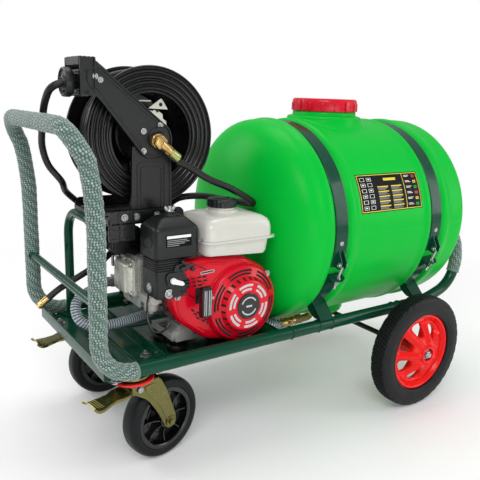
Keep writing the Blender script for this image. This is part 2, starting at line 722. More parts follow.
FRONT_BEND = [
    (571, -RAIL_Y, 263), (601, -RAIL_Y, 269), (632, -RAIL_Y, 277), (672, -RAIL_Y, 291),
    (701, -RAIL_Y, 314), (718, -RAIL_Y, 347), (725, -233, 392), (733, -218, 432),
    (740, -190, 457), (745, -140, 470), (745, 0, 470)]
front_half = [(60, -RAIL_Y, RAIL_Z), (571, -RAIL_Y, RAIL_Z)] + smooth_path(FRONT_BEND, 10)[1:-1]
part = Part()
part.tube(resample(both_sides(rear_half(10)), 40), TUBE_R, 24)
part.tube(resample(both_sides(front_half), 40), TUBE_R, 24)
for side in (-1, 1):
    part.weld("x", 16.4, 60.5, side * RAIL_Y, RAIL_Z, 1.6)
    part.weld("y", 12.2, side * 219.5, HANDLE_X, 425, 1.9)
part.rod("y", 10, -222, 222, HANDLE_X, 425)
# twin folded channels across the rear, where the casters bolt on
for x0, x1 in ((-442, -369.5), (-366.5, -293)):
    part.plate("y", rounded(
        [(x0, 247), (x1, 247), (x1, 279), (x1 - 3, 279), (x1 - 3, 250), (x0 + 3, 250),
         (x0 + 3, 279), (x0, 279)], [3.5, 3.5, 0.6, 0.6, 1.5, 1.5, 0.6, 0.6], 3), -222, 222)
part.make("frame_tubes", GREEN, replaces="frame", angle=40)

# axle hangers: folded plates with a rolled eye
part = Part()
for side in (-1, 1):
    y0, y1 = side * RAIL_Y - 5, side * RAIL_Y + 5
    part.plate("y", rounded([(438, 262), (476, 262), (480, 168), (472, 149), (457, 143),
                             (442, 149), (434, 168)], [1, 1, 10, 14, 16, 14, 10], 5), y0, y1)
    part.ring("y", 8.9, 17, y0 - 4, y1 + 4, WHEEL_X, WHEEL_R, 32, 1)
    part.plate("y", rounded([(448, 246), (466, 246), (463, 184), (451, 184)], 5, 3),
               y0 - 3, y1 + 3)
    for x in (444, 470):
        part.weld("x", 16.6, x, side * RAIL_Y, RAIL_Z, 1.8)
part.make("axle_hangers", GREEN, angle=30, bevel=1)

part = Part()
for side in (-1, 1):
    for x in (-416, -308):
        for dy in (-42, 42):
            part.bolt((x, side * CASTER_Y + dy, 250), UP, 15, 7)
            part.rod("z", 4, 250, 263, x, side * CASTER_Y + dy, 12, 0.8)
part.make("caster_bolts", STEEL, angle=30)

# ------------------------------------------------------------------ knitted covers
COVER_R, ROW = 19.8, 5.6                       # outside radius, length of a row of loops


def knit(length, angle):
    """Height of the yarn, 0 in the gaps and 1 on the crests."""
    turn = angle / tau
    row = floor(length / ROW)                  # every second row is shifted by half a loop
    loop = abs(sin(pi * (18 * turn + 0.5 * (row % 2) + length / 70 + 0.2 * sin(row * 2.3)
                         + 0.16 * sin(row * 0.71 + 17 * turn))))
    along = abs(sin(pi * length / ROW))
    return loop ** 0.9 * (0.3 + 0.7 * along) * (0.8 + 0.2 * sin(row * 1.7 + 31 * turn))


def knit_swell(length, angle):
    """The yarn and a slow unevenness of the cover."""
    slow = 0.5 * sin(length / 37 + 2 * sin(length / 91)) + 0.35 * sin(length / 13 + angle)
    return 2.3 * knit(length, angle) + 0.6 * slow


def knit_cover(name, path, replaces):
    part = Part()
    path = resample(path, 1.5)
    part.tube(path, COVER_R - 2.4, 72, caps=False, swell=knit_swell, height=knit)
    # rolled hems at both ends, closed down to the tube
    for end, inner in ((0, 1), (-1, -2)):
        tip = Vector(path[end])
        inwards = (Vector(path[inner]) - tip).normalized()
        part.tube([tuple(tip + inwards * t) for t in (-1.2, 0.2, 2.2, 4.6, 6)],
                  [16.4, 18.8, 20, 19.4, 17.6], 48, caps=False,
                  height=lambda length, angle: 0.45 + 0.4 * sin(angle * 24))
    part.make(name, KNIT, replaces=replaces, angle=80, knitted=True, merge=0)


rear_cover = [(-370, -RAIL_Y, RAIL_Z)] + [p for p in rear_half(6) if p[0] < -377.9]
knit_cover("rear_handle_cover", both_sides(rear_cover), "rear_handle_wrap")
knit_cover("front_handle_cover", both_sides([p for p in front_half if p[2] > 330]),
           "front_handle_wrap")

# ------------------------------------------------------------------ engine tray
part = Part()
TRAY_SECTION = [                               # y, z
    (-218, 262), (-214.4, 262), (-214.4, 244.5), (-173, TRAY_Z), (173, TRAY_Z), (214.4, 244.5),
    (214.4, 262), (218, 262), (218, 241.5), (174.5, TRAY_Z - 3.6), (-174.5, TRAY_Z - 3.6),
    (-218, 241.5)]
part.plate("x", rounded(TRAY_SECTION, [0.6, 0.6, 6, 8, 8, 6, 0.6, 0.6, 8, 10, 10, 8], 4),
           -289, 120)
part.plate("x", [(-214.5, 262), (-214.5, 243.4), (-173.4, TRAY_Z - 1), (173.4, TRAY_Z - 1),
                 (214.5, 243.4), (214.5, 262)], -289, -285.4)
part.plate("y", rounded(
    [(112, TRAY_Z - 3.4), (116.4, TRAY_Z - 3.4), (116.4, TRAY_Z - 14), (120, TRAY_Z - 14),
     (120, TRAY_Z), (112, TRAY_Z)], [0.4, 1, 0.6, 0.6, 3, 0.4], 3), -160, 160)
for side in (-1, 1):
    part.bolts([(x, side * 213.9, 253) for x in (-200, -60, 70)], (0, -side, 0), 10, 5, mat=1)
# long stiffening swages pressed in the sheet
for y in (-168, 108, 160):
    arch = [(y - 8 * cos(pi * i / 12), TRAY_Z + 3.2 * sin(pi * i / 12)) for i in range(13)]
    part.plate("x", arch + [(y + 8, TRAY_Z - 0.4), (y - 8, TRAY_Z - 0.4)], -262, 96)
part.make("engine_tray_sheet", [GREEN, STEEL], replaces="engine_tray", bevel=0.6)

# ------------------------------------------------------------------ reel stand
STAND_X, STAND_Z = CASTER_X - 6, 547
part = Part()
hoop = fillet_path([(STAND_X, 200, 250.6), (STAND_X, 200, STAND_Z), (STAND_X, 6, STAND_Z),
                    (STAND_X, 6, 250.6)], [70, 54], 7)
part.tube(resample(hoop, 30), 12, 24)
for y in (44, 100):
    part.rod("x", 10, STAND_X + 6, -190, y, STAND_Z)
leg = fillet_path([(-200, 40, STAND_Z), (-200, 224, STAND_Z), (-200, 224, 296), (-200, 234, 286),
                   (-200, 235, 280)], [44, 12, 6], 6)
part.tube(resample(leg, 30), 10, 20)
for y in (200, 6):
    part.weld("z", 12.4, 252.4, STAND_X, y, 2)
    part.ring("z", 12.2, 24, 250.4, 253.4, STAND_X, y, 32, 0.8)
for y in (44, 100):
    part.weld("x", 10.4, STAND_X + 13, y, STAND_Z, 1.6)
part.make("reel_stand_tubes", GREEN, replaces="reel_stand", angle=40)


# ------------------------------------------------------------------ moulded tank
def tank_end(tip_x, depth, side, steps):
    """(radius, x) of a domed end, from its tip."""
    out = []
    for i in range(steps + 1):
        q = sin(i / steps * pi / 2)
        out.append((TANK_R * q, tip_x + side * depth * (1 - max(0.0, 1 - q ** 2.4) ** (1 / 2.4))))
    return out


def tank_radius(x):
    """Radius along the straight part: body, strap grooves and the swelling beside each."""
    radius = TANK_R
    for strap_x in STRAPS:
        distance = abs(x - strap_x)
        groove = 1 - ease((distance - 22.5) / 8)
        radius += exp(-((distance - 40) / 13) ** 2) * 4.6
        radius = radius * (1 - groove) + 276.3 * groove
    return radius


def tank_profile():
    left = tank_end(TANK_X0, 100, 1, 34)
    right = tank_end(TANK_X1, 68, -1, 26)[::-1]
    body = []
    x = left[-1][1] + 2
    while x < right[0][1] - 2:
        body.append((tank_radius(x), x))
        x += 3
    # blend the domes into the ridges next to them
    left = [(r + (tank_radius(t) - TANK_R) * ease((t - 70) / 40), t) for r, t in left]
    right = [(r + (tank_radius(t) - TANK_R) * ease((690 - t) / 40), t) for r, t in right]
    return left + body + right


Part().lathe("x", tank_profile(), 160, 0, TANK_Z).make(
    "tank_body", TANK_GREEN, replaces="tank_shell", angle=60)

part = Part()
# parting line: a low rounded rib on the horizontal centre plane, as (lift, z) across it
RIB = ((-0.6, -2.2), (0.35, -0.9), (0.55, 0), (0.35, 0.9), (-0.6, 2.2))
for side in (-1, 1):
    part.grid([[(x, side * (r + lift), TANK_Z + dz) for lift, dz in RIB]
               for r, x in tank_profile()[4:-4]])
# filler neck flared out of the shell
NECK_R, FLARE_R, NECK_Z = 108, 126, 799
rows = []
for j in range(13):
    t = j / 12
    rho = FLARE_R + (NECK_R - FLARE_R) * sin(t * pi / 2)
    lift = 1 - cos(t * pi / 2)
    row = []
    for i in range(97):
        a = tau * i / 96
        x, y = LID_X + rho * cos(a), rho * sin(a)
        base = TANK_Z + sqrt(max(0, tank_radius(x) ** 2 - y * y)) - 1
        row.append((x, y, base * (1 - lift) + NECK_Z * lift if base < NECK_Z else base))
    rows.append(row)
part.grid(rows)
part.lathe("z", [
    (NECK_R, NECK_Z), (107.4, 802), (105.6, 804.4), (102, 806), (95, 807.4), (92.4, 808.6),
    (92, 810), (92, 816), (90.6, 817.6), (86, 818.4), (86, 844), (80, 844), (80, 760)], 96, LID_X)
# sump boss underneath
part.lathe("z", [(0, 203), (58, 203), (62, 204), (66, 207), (68, 211), (70, 216), (70, 240),
                 (76, 246)], 64, 375)
part.make("tank_neck_and_sump", TANK_GREEN, angle=55)


def on_tank(radius, angle):
    """(y, z) at a radius and angle round the tank's axis."""
    return (radius * cos(rad(angle)), TANK_Z + radius * sin(rad(angle)))


# ------------------------------------------------------------------ tank label
LABEL_X0, LABEL_X1 = 243, 481
LABEL_TOP, LABEL_BOTTOM = 147.4, 168.6         # degrees round the tank
part = Part()


def patch(u0, u1, v0, v1, lift, mat):
    """A piece of label; u runs along x and v down the shell, both 0 to 1."""
    nu, nv = int((u1 - u0) * 24) + 1, int((v1 - v0) * 14) + 1
    rows = []
    for j in range(nv + 1):
        angle = LABEL_TOP + (LABEL_BOTTOM - LABEL_TOP) * (v0 + (v1 - v0) * j / nv)
        xs = [LABEL_X0 + (LABEL_X1 - LABEL_X0) * (u0 + (u1 - u0) * i / nu) for i in range(nu + 1)]
        rows.append([(x, *on_tank(tank_radius(x) + lift, angle)) for x in xs])
    part.grid(rows, mat)


patch(0, 1, 0, 1, 0.5, 0)
# yellow border and divider
for u0, u1, v0, v1 in ((0.012, 0.988, 0.022, 0.04), (0.012, 0.988, 0.96, 0.978),
                       (0.012, 0.020, 0.022, 0.978), (0.980, 0.988, 0.022, 0.978),
                       (0.735, 0.743, 0.04, 0.96)):
    patch(u0, u1, v0, v1, 0.62, 1)
# two columns of plain bars
for column, (u0, wide) in enumerate(((0.30, 0.17), (0.52, 0.17))):
    for bar in range(5):
        v = 0.34 + 0.125 * bar
        patch(u0, u0 + wide, v, v + 0.028, 0.66, 1)
        for k in range(3):
            patch(u0, u0 + wide * (0.98 - 0.13 * ((k + bar + column) % 3)),
                  v + 0.042 + 0.022 * k, v + 0.052 + 0.022 * k, 0.66, 2)
patch(0.42, 0.62, 0.13, 0.20, 0.66, 1)
# white frames, every second one filled
for row in range(6):
    for column in range(2):
        u, v = 0.05 + 0.105 * column, 0.10 + 0.145 * row
        patch(u, u + 0.07, v, v + 0.008, 0.66, 3)
        patch(u, u + 0.07, v + 0.085, v + 0.093, 0.66, 3)
        patch(u, u + 0.006, v, v + 0.093, 0.66, 3)
        patch(u + 0.064, u + 0.07, v, v + 0.093, 0.66, 3)
        if (row + column) % 2:
            patch(u + 0.02, u + 0.05, v + 0.03, v + 0.06, 0.66, 3)
# short lines with a coloured block each
for row in range(6):
    v = 0.09 + 0.15 * row
    for k in range(2):
        patch(0.77, 0.86 - 0.02 * ((row + k) % 2), v + 0.03 * k, v + 0.014 + 0.03 * k, 0.66, 3)
    patch(0.90, 0.945, v, v + 0.07, 0.66, (4, 1, 5)[row % 3])
    patch(0.912, 0.933, v + 0.02, v + 0.05, 0.70, 0)
part.make("tank_label", [LABEL_BLACK, LABEL_YELLOW, LABEL_GREY, LABEL_WHITE, HANDLE_RED,
                         TANK_GREEN], angle=60, merge=0)

# ------------------------------------------------------------------ screw lid with grip lugs
LID_DROP = 12                                  # the finished lid is lowered by this much


def lid_turn(angle):
    return Matrix.Translation(Vector((LID_X, 0, 0))) @ Matrix.Rotation(angle, 4, "Z")


part = Part()
part.lathe("z", [
    (0, 857.5), (70, 857.5), (76, 858), (79, 861), (80, 864.5), (82, 866.5), (86, 867), (90, 866),
    (93, 862), (94, 857), (94, 834), (93.4, 831.5), (92, 830.6), (88.4, 830.6), (87.6, 832),
    (87.6, 856.6), (0, 856.8)], 96, LID_X)
part.ring("z", 30, 34, 857, 859.5, LID_X, 0, 48, 0.8)
part.ring("z", 52, 55, 857, 859, LID_X, 0, 64, 0.8)
for k in range(16):
    half, outer, top = (5.2, 98, 864) if k % 4 == 0 else (2.6, 96, 858)
    lug = rounded([(90, 832), (outer, 832.5), (outer, top - 4), (90, top)], [0.4, 2.2, 4, 0.4], 4)
    part.merge(Part().plate("y", lug, -half, half).moved(lid_turn(tau * k / 16)))
for k in range(8):
    rib = Part().plate("z", rect(56, 79, -1.8, 1.8, 1.2, 3), 856.8, 859.6)
    part.merge(rib.moved(lid_turn(tau * (k + 0.5) / 8)))
part.verts = [(x, y, z - LID_DROP) for x, y, z in part.verts]
part.make("screw_lid", LID_RED, body="lid", replaces="tank_lid", bevel=0.5)

# ------------------------------------------------------------------ straps, tie rods, cradles
# angles round the tank of the cradle's ear and of the upper strap's shackle
EAR_A, SHACKLE_A = 201.5, 196


def band(x0, x1, r0, r1, start, end, n):
    """Flat bar with eased edges, bent round the tank."""
    section = [(x0 + 0.7, r0), (x1 - 0.7, r0), (x1, r0 + 0.7), (x1, r1 - 0.9), (x1 - 0.9, r1),
               (x0 + 0.9, r1), (x0, r1 - 0.9), (x0, r0 + 0.7)]
    return Part().loft([[(x, *on_tank(r, start + (end - start) * i / n)) for x, r in section]
                        for i in range(n + 1)])


def tie_rod():
    """Threaded rod along z with an eye, a washer, a nut and a lock nut."""
    part = Part()
    profile = [(0, -33), (3.2, -33), (3.9, -32.3)]
    for k in range(28):
        profile += [(3.5, -32 + 1.4 * k), (4, -31.3 + 1.4 * k)]
    part.lathe("z", profile + [(3.9, 7), (3.9, 38), (0, 38)], 20)
    part.torus("x", 6.2, 3, 0, 0, 0, 20, 10)
    part.ring("z", 4, 9.4, -4.2, -2.2, 0, 0, 28, 0.4)
    for z, height in ((-11, 6.6), (-16.2, 4.2)):
        part.loft([at("z", circle(0, 0, 7.6 * k, 6, 15), t) for k, t in (
            (0.88, z), (1, z + 0.8), (1, z + height - 0.8), (0.88, z + height))])
    return part


def shackle(x):
    """Near-side shackle plates riveted to the strap end, with the tie rod."""
    part = Part()
    outline = [on_tank(r, SHACKLE_A + a) for r, a in (
        (278, -8), (283, -9.5), (303, -4.2), (303, -0.8), (296, 0), (279, 0))]
    for dx in (-9, 6.6):
        part.plate("x", rounded(outline, [1, 2, 5, 5, 2, 1], 4), x + dx, x + dx + 2.4, 1)
    for side in (1, -1):
        part.bolt((x + side * 9, *on_tank(296, SHACKLE_A - 2.6)), (side, 0, 0), 8, 4)
    out = rad(SHACKLE_A - 12)
    part.bolt((x, *on_tank(280.2, SHACKLE_A - 13)), (0, cos(out), sin(out)), 11, 3.2, dome=True)
    ear = rad(EAR_A)
    return part.merge(tie_rod().moved(
        aim((x, *on_tank(296, EAR_A)), (0, sin(ear), -cos(ear)))))


def cradle_side(x):
    """Near-side ear and folded foot of the lower half strap."""
    part = Part()
    # ear plate with a lug nose, standing off the tank, as (x, radius)
    outline = rounded([(x - 25, 279), (x + 25, 279), (x + 22, 300), (x + 10, 309), (x - 10, 309),
                       (x - 22, 300)], [2, 2, 8, 6, 6, 8], 5)
    dy, dz = -sin(rad(EAR_A)) * 2, cos(rad(EAR_A)) * 2       # half the ear's thickness
    middle = [(px, *on_tank(r, EAR_A)) for px, r in outline]
    part.loft([[(px, y + k * dy, z + k * dz) for px, y, z in middle] for k in (-1, 1)])
    gusset = [on_tank(280.2, EAR_A), on_tank(302, EAR_A), on_tank(281, EAR_A + 6.5)]
    for start in (x - 20, x + 17):
        part.plate("x", gusset, start, start + 3)
    # foot: folded channel from the tank down to the rail, web outside, flanges inwards
    top, base = Vector((-203, 326)), Vector((-247.5, 281))
    thick = Vector((top.y - base.y, base.x - top.x)).normalized() * 3
    part.plate("x", [top, base, base + thick, top + thick], x - 24, x + 24)
    flange = rounded([tuple(top), tuple(base), tuple(base + Vector((12.5, 0.6))),
                      (-219.5, 282.5), (-196, 297), (-184, 316)], [1, 1, 3, 6, 10, 3], 3)
    for start in (x - 24, x + 21):
        part.plate("x", flange, start, start + 3)
    return part


for name, x in zip(("rear", "front"), STRAPS):
    x0, x1 = x - 21, x + 21
    part = band(x0, x1, 277.6, 280.6, 180 - SHACKLE_A, SHACKLE_A, 150)
    # lap seams where the band is doubled
    part.merge(band(x0 + 1, x1 - 1, 280.4, 282, 174, 188, 14))
    part.merge(band(x0 + 1, x1 - 1, 280.4, 282, 6, -8, 14))
    part.make("strap_" + name + "_band", GREEN, replaces="strap_" + name, angle=40)

    part = Part().merge(shackle(x)).merge(shackle(x).mirrored())
    part.make("strap_" + name + "_tie_rods", [STEEL, GREEN], angle=32)

    part = band(x0, x1, 277.6, 280.6, EAR_A - 1, 541 - EAR_A, 90)
    for side in (-1, 1):
        part.merge(cradle_side(x) if side < 0 else cradle_side(x).mirrored())
        for weld_x in (x0 - 2, x1 + 2):
            part.weld("x", 16.2, weld_x, side * RAIL_Y, RAIL_Z, 1.5)
    part.make("cradle_" + name + "_steel", GREEN, replaces="cradle_" + name, angle=34, bevel=0.6)

# ------------------------------------------------------------------ big wheels
# Built round the origin with the axle along y and the outer face towards -y.


def big_tyre():
    side = [                                   # radius, y
        (111.4, -30), (113, -34.5), (117, -37.2), (119.5, -36.2), (122, -37.6), (130, -39),
        (138, -39), (146, -37.8), (148.5, -36.6), (150, -37.2), (152, -36.4), (157, -33.2),
        (159.5, -30.6)]
    grooves = (-19.5, -9.8, 0.0, 9.8, 19.5)
    ys = [-28.6] + [c + d for c in grooves for d in (-2.2, -1.3, 1.3, 2.2)] + [28.6]
    tread = []
    for y in ys:
        deep = any(abs(y - c) < 1.5 for c in grooves)
        tread.append((162.9 - 1.9 * (y / 28.6) ** 2 - (2.8 if deep else 0), y))

    def blocks(r, t, a):
        """Cuts notches in the shoulder and staggered gaps across the tread."""
        if abs(t) > 28.7 and 150 < r < 160.5:
            return r - (1.5 if (int(a / tau * 72 + 0.5) % 2) and r > 156 else 0)
        if r < 158 or abs(t) > 28.7:
            return r
        row = int((t + 30) / 9.8)
        return r - (2.4 if (a / tau * 96 + 0.25 * row) % 1 < 0.26 else 0)

    part = Part().lathe("y", side + tread + [(r, -t) for r, t in reversed(side)], 384,
                        shape=blocks)
    # narrowed and shifted outwards
    part.verts = [(x, -11 + y * 28 / 39, z) for x, y, z in part.verts]
    return part


SPOKE_STEP = 360 / 7


def rim_face(r, angle):
    """y of the dish's outer face; angle is from a window's middle, in degrees."""
    base = -50 + 32 * ease((r - 26) / 66)
    off = r * rad(SPOKE_STEP / 2 - abs(angle))           # distance to the spoke's middle line
    ridge = 7.5 * exp(-(off / 7.5) ** 2) * ease((r - 22) / 12) * (1 - 0.5 * ease((r - 84) / 12))
    return base - ridge - 3 * exp(-((r - 90.5) / 3.4) ** 2)


def rim_sector(part, middle):
    """One window of the dish and the face around it, out to the spokes' middle lines."""
    rings = []
    for j in range(10):
        t = j / 9
        ring = []
        for i in range(64):
            c, s = cos(tau * i / 64), sin(tau * i / 64)
            # window edge, a rounded trapezoid, and the sector's edge
            e = (abs(c) ** 3.4 + abs(s) ** 3.4) ** (-1 / 3.4)
            q = 1 / max(abs(c), abs(s))
            window_r, window_a = 67 + 17.5 * s * e, (13.9 + 1.6 * s * e) * c * e
            sector_r, sector_a = 61.5 + 35.5 * s * q, SPOKE_STEP / 2 * c * q
            r = window_r + (sector_r - window_r) * t ** 0.85
            a = window_a + (sector_a - window_a) * t ** 0.85
            roll = 2.6 * (1 - ease(t / 0.22))            # the face rolls inwards at the window
            ring.append((r * cos(rad(middle + a)), rim_face(r, a) + roll,
                         r * sin(rad(middle + a))))
        rings.append(ring)
    wall, wall_end = ([(x, min(y, 0) + dy, z) for x, y, z in rings[0]] for dy in (3, 9.5))
    part.loft([wall_end, wall] + rings, caps=False)
    back = [wall_end] + [[(x, y + 9.5 + 0.6, z) for x, y, z in ring] for ring in rings[1:]]
    part.loft(back[::-1], caps=False)


def big_rim():
    part = Part()
    # barrel and rolled lips
    part.lathe("y", [
        (101.5, -27), (102.5, -30.2), (105, -32), (109, -31.6), (111, -29.5), (111, 8.4),
        (109, 10.4), (105, 11), (102.5, 9.4), (102, 5), (102.6, 0), (99, -6), (95.5, -13),
        (95, -18), (98, -23), (101.5, -27)], 112)
    for k in range(7):
        rim_sector(part, SPOKE_STEP * k + SPOKE_STEP)
    # hub barrel, nose and recess
    part.lathe("y", [
        (26, -20), (27.5, -44), (27, -50), (25.6, -54.5), (23.6, -57), (20.5, -57.4), (18.6, -56),
        (18.2, -47), (8.7, -46.6), (8.7, 33), (13, 34), (22, 34), (24, 32), (25, 20), (29, -8),
        (33, -30), (26, -20)], 72)
    for k in range(7):
        rib = Part().plate("y", [(25, -1.8), (93, -1.8), (93, 1.8), (25, 1.8)], -34, -8)
        rib.verts = [(x, y if x < 50 else y * 0.55 - 1, z) for x, y, z in rib.verts]
        turn = SPOKE_STEP * (k + 0.5) + SPOKE_STEP
        part.merge(rib.moved(Matrix.Rotation(-rad(turn), 4, "Y")))
    return part


def hub_nut():
    part = Part()
    part.ring("y", 8.9, 17.6, -47.6, -46, 0, 0, 40, 0.3, mat=1)
    part.merge(Part().bolt((0, 0, 0), UP, 19, 8.5, washer=False).moved(aim((0, -48, 0), NEAR)))
    part.ring("y", 9.2, 15.5, -48.4, -47.4, 0, 0, 32, 0.2)
    profile = [(0, -54), (7, -54)]
    for k in range(4):
        profile += [(7.6, -55 - 1.2 * k), (6.9, -55.6 - 1.2 * k)]
    return part.lathe("y", profile + [(6.4, -60.4), (0, -60.6)], 28)


def valve_stem():
    part = Part().rod("z", 3.6, 92, 101, 0, -14, 16, 0.8)
    return part.rod("z", 2.6, 84, 93, 0, -14, 16, 0.5, mat=1)


for name, side in (("near", -1), ("far", 1)):
    stand = Matrix.Translation(Vector((WHEEL_X, side * WHEEL_Y, WHEEL_R)))
    if side > 0:
        stand = stand @ Matrix.Rotation(pi, 4, "Z")
    body = "wheel_" + name
    big_tyre().moved(stand).make("big_tyre_" + name, TYRE, body=body,
                                 replaces="wheel_tyre_" + name, angle=28)
    big_rim().moved(stand).make("big_rim_" + name, RIM_RED, body=body,
                                replaces="wheel_rim_" + name, angle=42, merge=0.15)
    hub_nut().moved(stand).make("big_hub_nut_" + name, [STEEL, GLOSS], body=body, angle=30)
    valve_stem().moved(stand).make("big_valve_stem_" + name, [SATIN, BRASS], body=body, angle=30)

part = Part().rod("y", 7.95, -300, 300, WHEEL_X, WHEEL_R, 32, 0.8)
for stub, collar in (((-360, -300), (-276, -250)), ((300, 360), (250, 276))):
    part.rod("y", 7, *stub, WHEEL_X, WHEEL_R, 24, 0.8)
    part.ring("y", 8.4, 13.5, *collar, WHEEL_X, WHEEL_R, 36, 0.8)
part.make("axle_bar", DARK_STEEL, replaces="axle", angle=40)

# ------------------------------------------------------------------ swivel casters
# Built round the swivel axis with the wheel trailing towards +x.
SWIVEL = {"near": 11.5, "far": 3}              # degrees each caster is turned


def caster_tyre():
    half = [(77, -22), (78, -23.4), (82, -24.6), (86, -25), (89, -24.6), (90, -23.4),
            (91.5, -23.6), (94, -22), (97, -18.5), (99, -14), (99.9, -8), (100, 0)]
    return Part().lathe("y", half + [(r, -t) for r, t in reversed(half[:-1])], 128)


def caster_hub():
    part = Part()
    part.lathe("y", [
        (76, -20), (76.2, -22.3), (74, -23), (68, -23), (66, -21.6), (64.6, -14), (60, -6),
        (60, 6), (64.6, 14), (66, 21.6), (68, 23), (74, 23), (76.2, 22.3), (76, 20), (76, -20)],
        96)
    part.lathe("y", [(62, -3.2), (24, -4.2), (24, 4.2), (62, 3.2)], 96)
    part.lathe("y", [
        (24, -5), (23, -14), (20, -28), (18.4, -29.6), (9.4, -29.8), (7.2, -28.6), (7.2, 28.6),
        (9.4, 29.8), (18.4, 29.6), (20, 28), (23, 14), (24, 5)], 64)
    for k in range(8):
        for s in (-1, 1):
            rib = rounded([(19, s * 3), (19, s * 26), (26, s * 19), (46, s * 11.5), (64, s * 17),
                           (66, s * 3)], [0.3, 2, 6, 14, 2, 0.3], 3)
            part.merge(Part().plate("z", rib, -1.3, 1.3).moved(
                Matrix.Rotation(tau * k / 8, 4, "Y")))
    for y in (-4.2, 4.2):
        part.torus("y", 43, 1.6, y, 0, 0, 64, 8)
    return part


def caster_fork():
    """Material 0 zinc, 1 steel, 2 red ring."""
    part = Part()
    leg = rounded(
        [(-26, 223), (50, 223), (60, 206), (74, 178), (98, 112), (98.5, 98), (90, 84), (76, 83),
         (66, 92), (44, 138), (14, 180), (-14, 198), (-26, 207)],
        [5, 9, 18, 26, 12, 12, 10, 10, 14, 40, 30, 14, 8], 6)
    rib = rounded(
        [(6, 214), (40, 214), (56, 190), (86, 112), (82, 100), (70, 108), (48, 156), (12, 196)],
        [6, 8, 12, 8, 8, 8, 20, 10], 4)
    # y ranges of the leg, its pressed rib and the boss round the axle bolt
    for side, leg_y, rib_y, boss_y in ((-1, (-38, -34.4), (-39.6, -37.8), (-40.4, -38)),
                                       (1, (34.4, 38), (37.8, 39.6), (38, 40.4))):
        part.plate("y", leg, *leg_y)
        part.plate("y", rib, *rib_y)
        part.ring("y", 5, 13, *boss_y, TRAIL, CASTER_R, 40)
        part.bolt((TRAIL, side * 40.2, CASTER_R), (0, side, 0), 14, 6.2)
        part.bolt((24, side * 39, 196), (0, side, 0), 9, 2.6, washer=False, dome=True)
    part.rod("y", 5.6, -41, 41, TRAIL, CASTER_R, 20, 0.4, mat=1)
    # crown folded over from the legs, with the double ball race
    part.plate("z", rounded([(-29, -36), (52, -36), (54, -20), (54, 20), (52, 36), (-29, 36)],
                            [12, 8, 10, 10, 8, 12], 5), 219.4, 223.6)
    part.lathe("z", [
        (10, 219.6), (30, 219.6), (44, 221), (47.5, 223.2), (48.4, 225.6), (46, 227.6),
        (36, 229.2), (30, 231.5), (20, 232.4), (8.6, 232.4)], 80)
    part.ring("z", 40, 50.2, 224, 230.4, 0, 0, 80, 1.6, mat=2)
    part.rod("z", 7.6, 216, 246, 0, 0, 28, 1, mat=1)
    part.bolt((0, 0, 219.4), DOWN, 19, 6.4, mat=1)
    # cross pin of the brake
    part.rod("y", 3.9, -42, 42, -6, 211, 20, 0.8, mat=1)
    for y in (-42, 40):
        part.ring("y", 4, 7.2, y, y + 2, -6, 211, 24, 0.4, mat=1)
    return part


def caster_plate():
    """Material 1 steel, 2 green."""
    part = Part()
    part.plate("z", rect(-68, 68, -41, 41, 8, 6), 242.6, 246.6, 2)
    part.lathe("z", [(9, 242.2), (22, 242.2), (36, 241.4), (40, 238.6), (41, 234), (39, 231.4),
                     (34, 230.9), (30, 233), (26, 234.4), (9, 234.4)], 72)
    for x in (-54, 54):
        for y in (-30, 30):
            part.ring("z", 4.4, 10, 240.6, 242.8, x, y, 28, 0.5, mat=1)
            part.bolt((x, y, 240.8), DOWN, 12, 5, mat=1, washer=False)
    return part


def brake_pedal():
    """Bent pressed pedal with a flared, ribbed pad and side ears round the pin."""
    part = Part()
    bends = [(-14, 203.5), (-20, 199.4), (-30, 198.2), (-56, 194.6), (-84, 190.4), (-98, 189.2),
             (-106, 192), (-112, 198.6)]       # x, z
    half_widths = [24, 26, 26, 21, 23, 27, 28, 25]
    path = smooth_path([(x, 0, z) for x, z in bends], 3)
    last = len(path) - 1
    loops = []
    for i in range(last + 1):
        f = i / last * (len(half_widths) - 1)
        k = min(int(f), len(half_widths) - 2)
        w = half_widths[k] + (half_widths[k + 1] - half_widths[k]) * (f - k)
        ahead = (Vector(path[min(i + 1, last)]) - Vector(path[max(i - 1, 0)])).normalized()
        up = Vector((ahead.z, 0, -ahead.x))
        if up.z < 0:
            up = -up
        section = [
            (-w, -3.2), (-w + 1.2, -3.2), (-w + 2.6, 0), (-w * 0.5, 0.9), (0, 1.3), (w * 0.5, 0.9),
            (w - 2.6, 0), (w - 1.2, -3.2), (w, -3.2), (w - 0.6, 1.6), (w - 2.4, 3.2), (0, 4.4),
            (-w + 2.4, 3.2), (-w + 0.6, 1.6)]
        centre = Vector((path[i][0], 0, path[i][2]))
        loops.append([tuple(centre + Vector((0, y, 0)) + up * (z - 2)) for y, z in section])
    part.loft(loops)
    for x, z in ((-88, 192.9), (-94, 192.9), (-100, 193.2)):
        part.rod("y", 1.3, -20, 20, x, z, 10, 0.5)
    ear = rounded([(-20, 195.5), (-2, 201), (4, 207), (2.6, 216), (-8, 218.4), (-20, 206)],
                  [3, 6, 6, 6, 6, 3], 4)
    for y in (-30.4, 27.4):
        part.plate("y", ear, y, y + 3)
    return part.plate("x", rect(-29, 29, 196.6, 205, 2, 3), -20, -17.2)


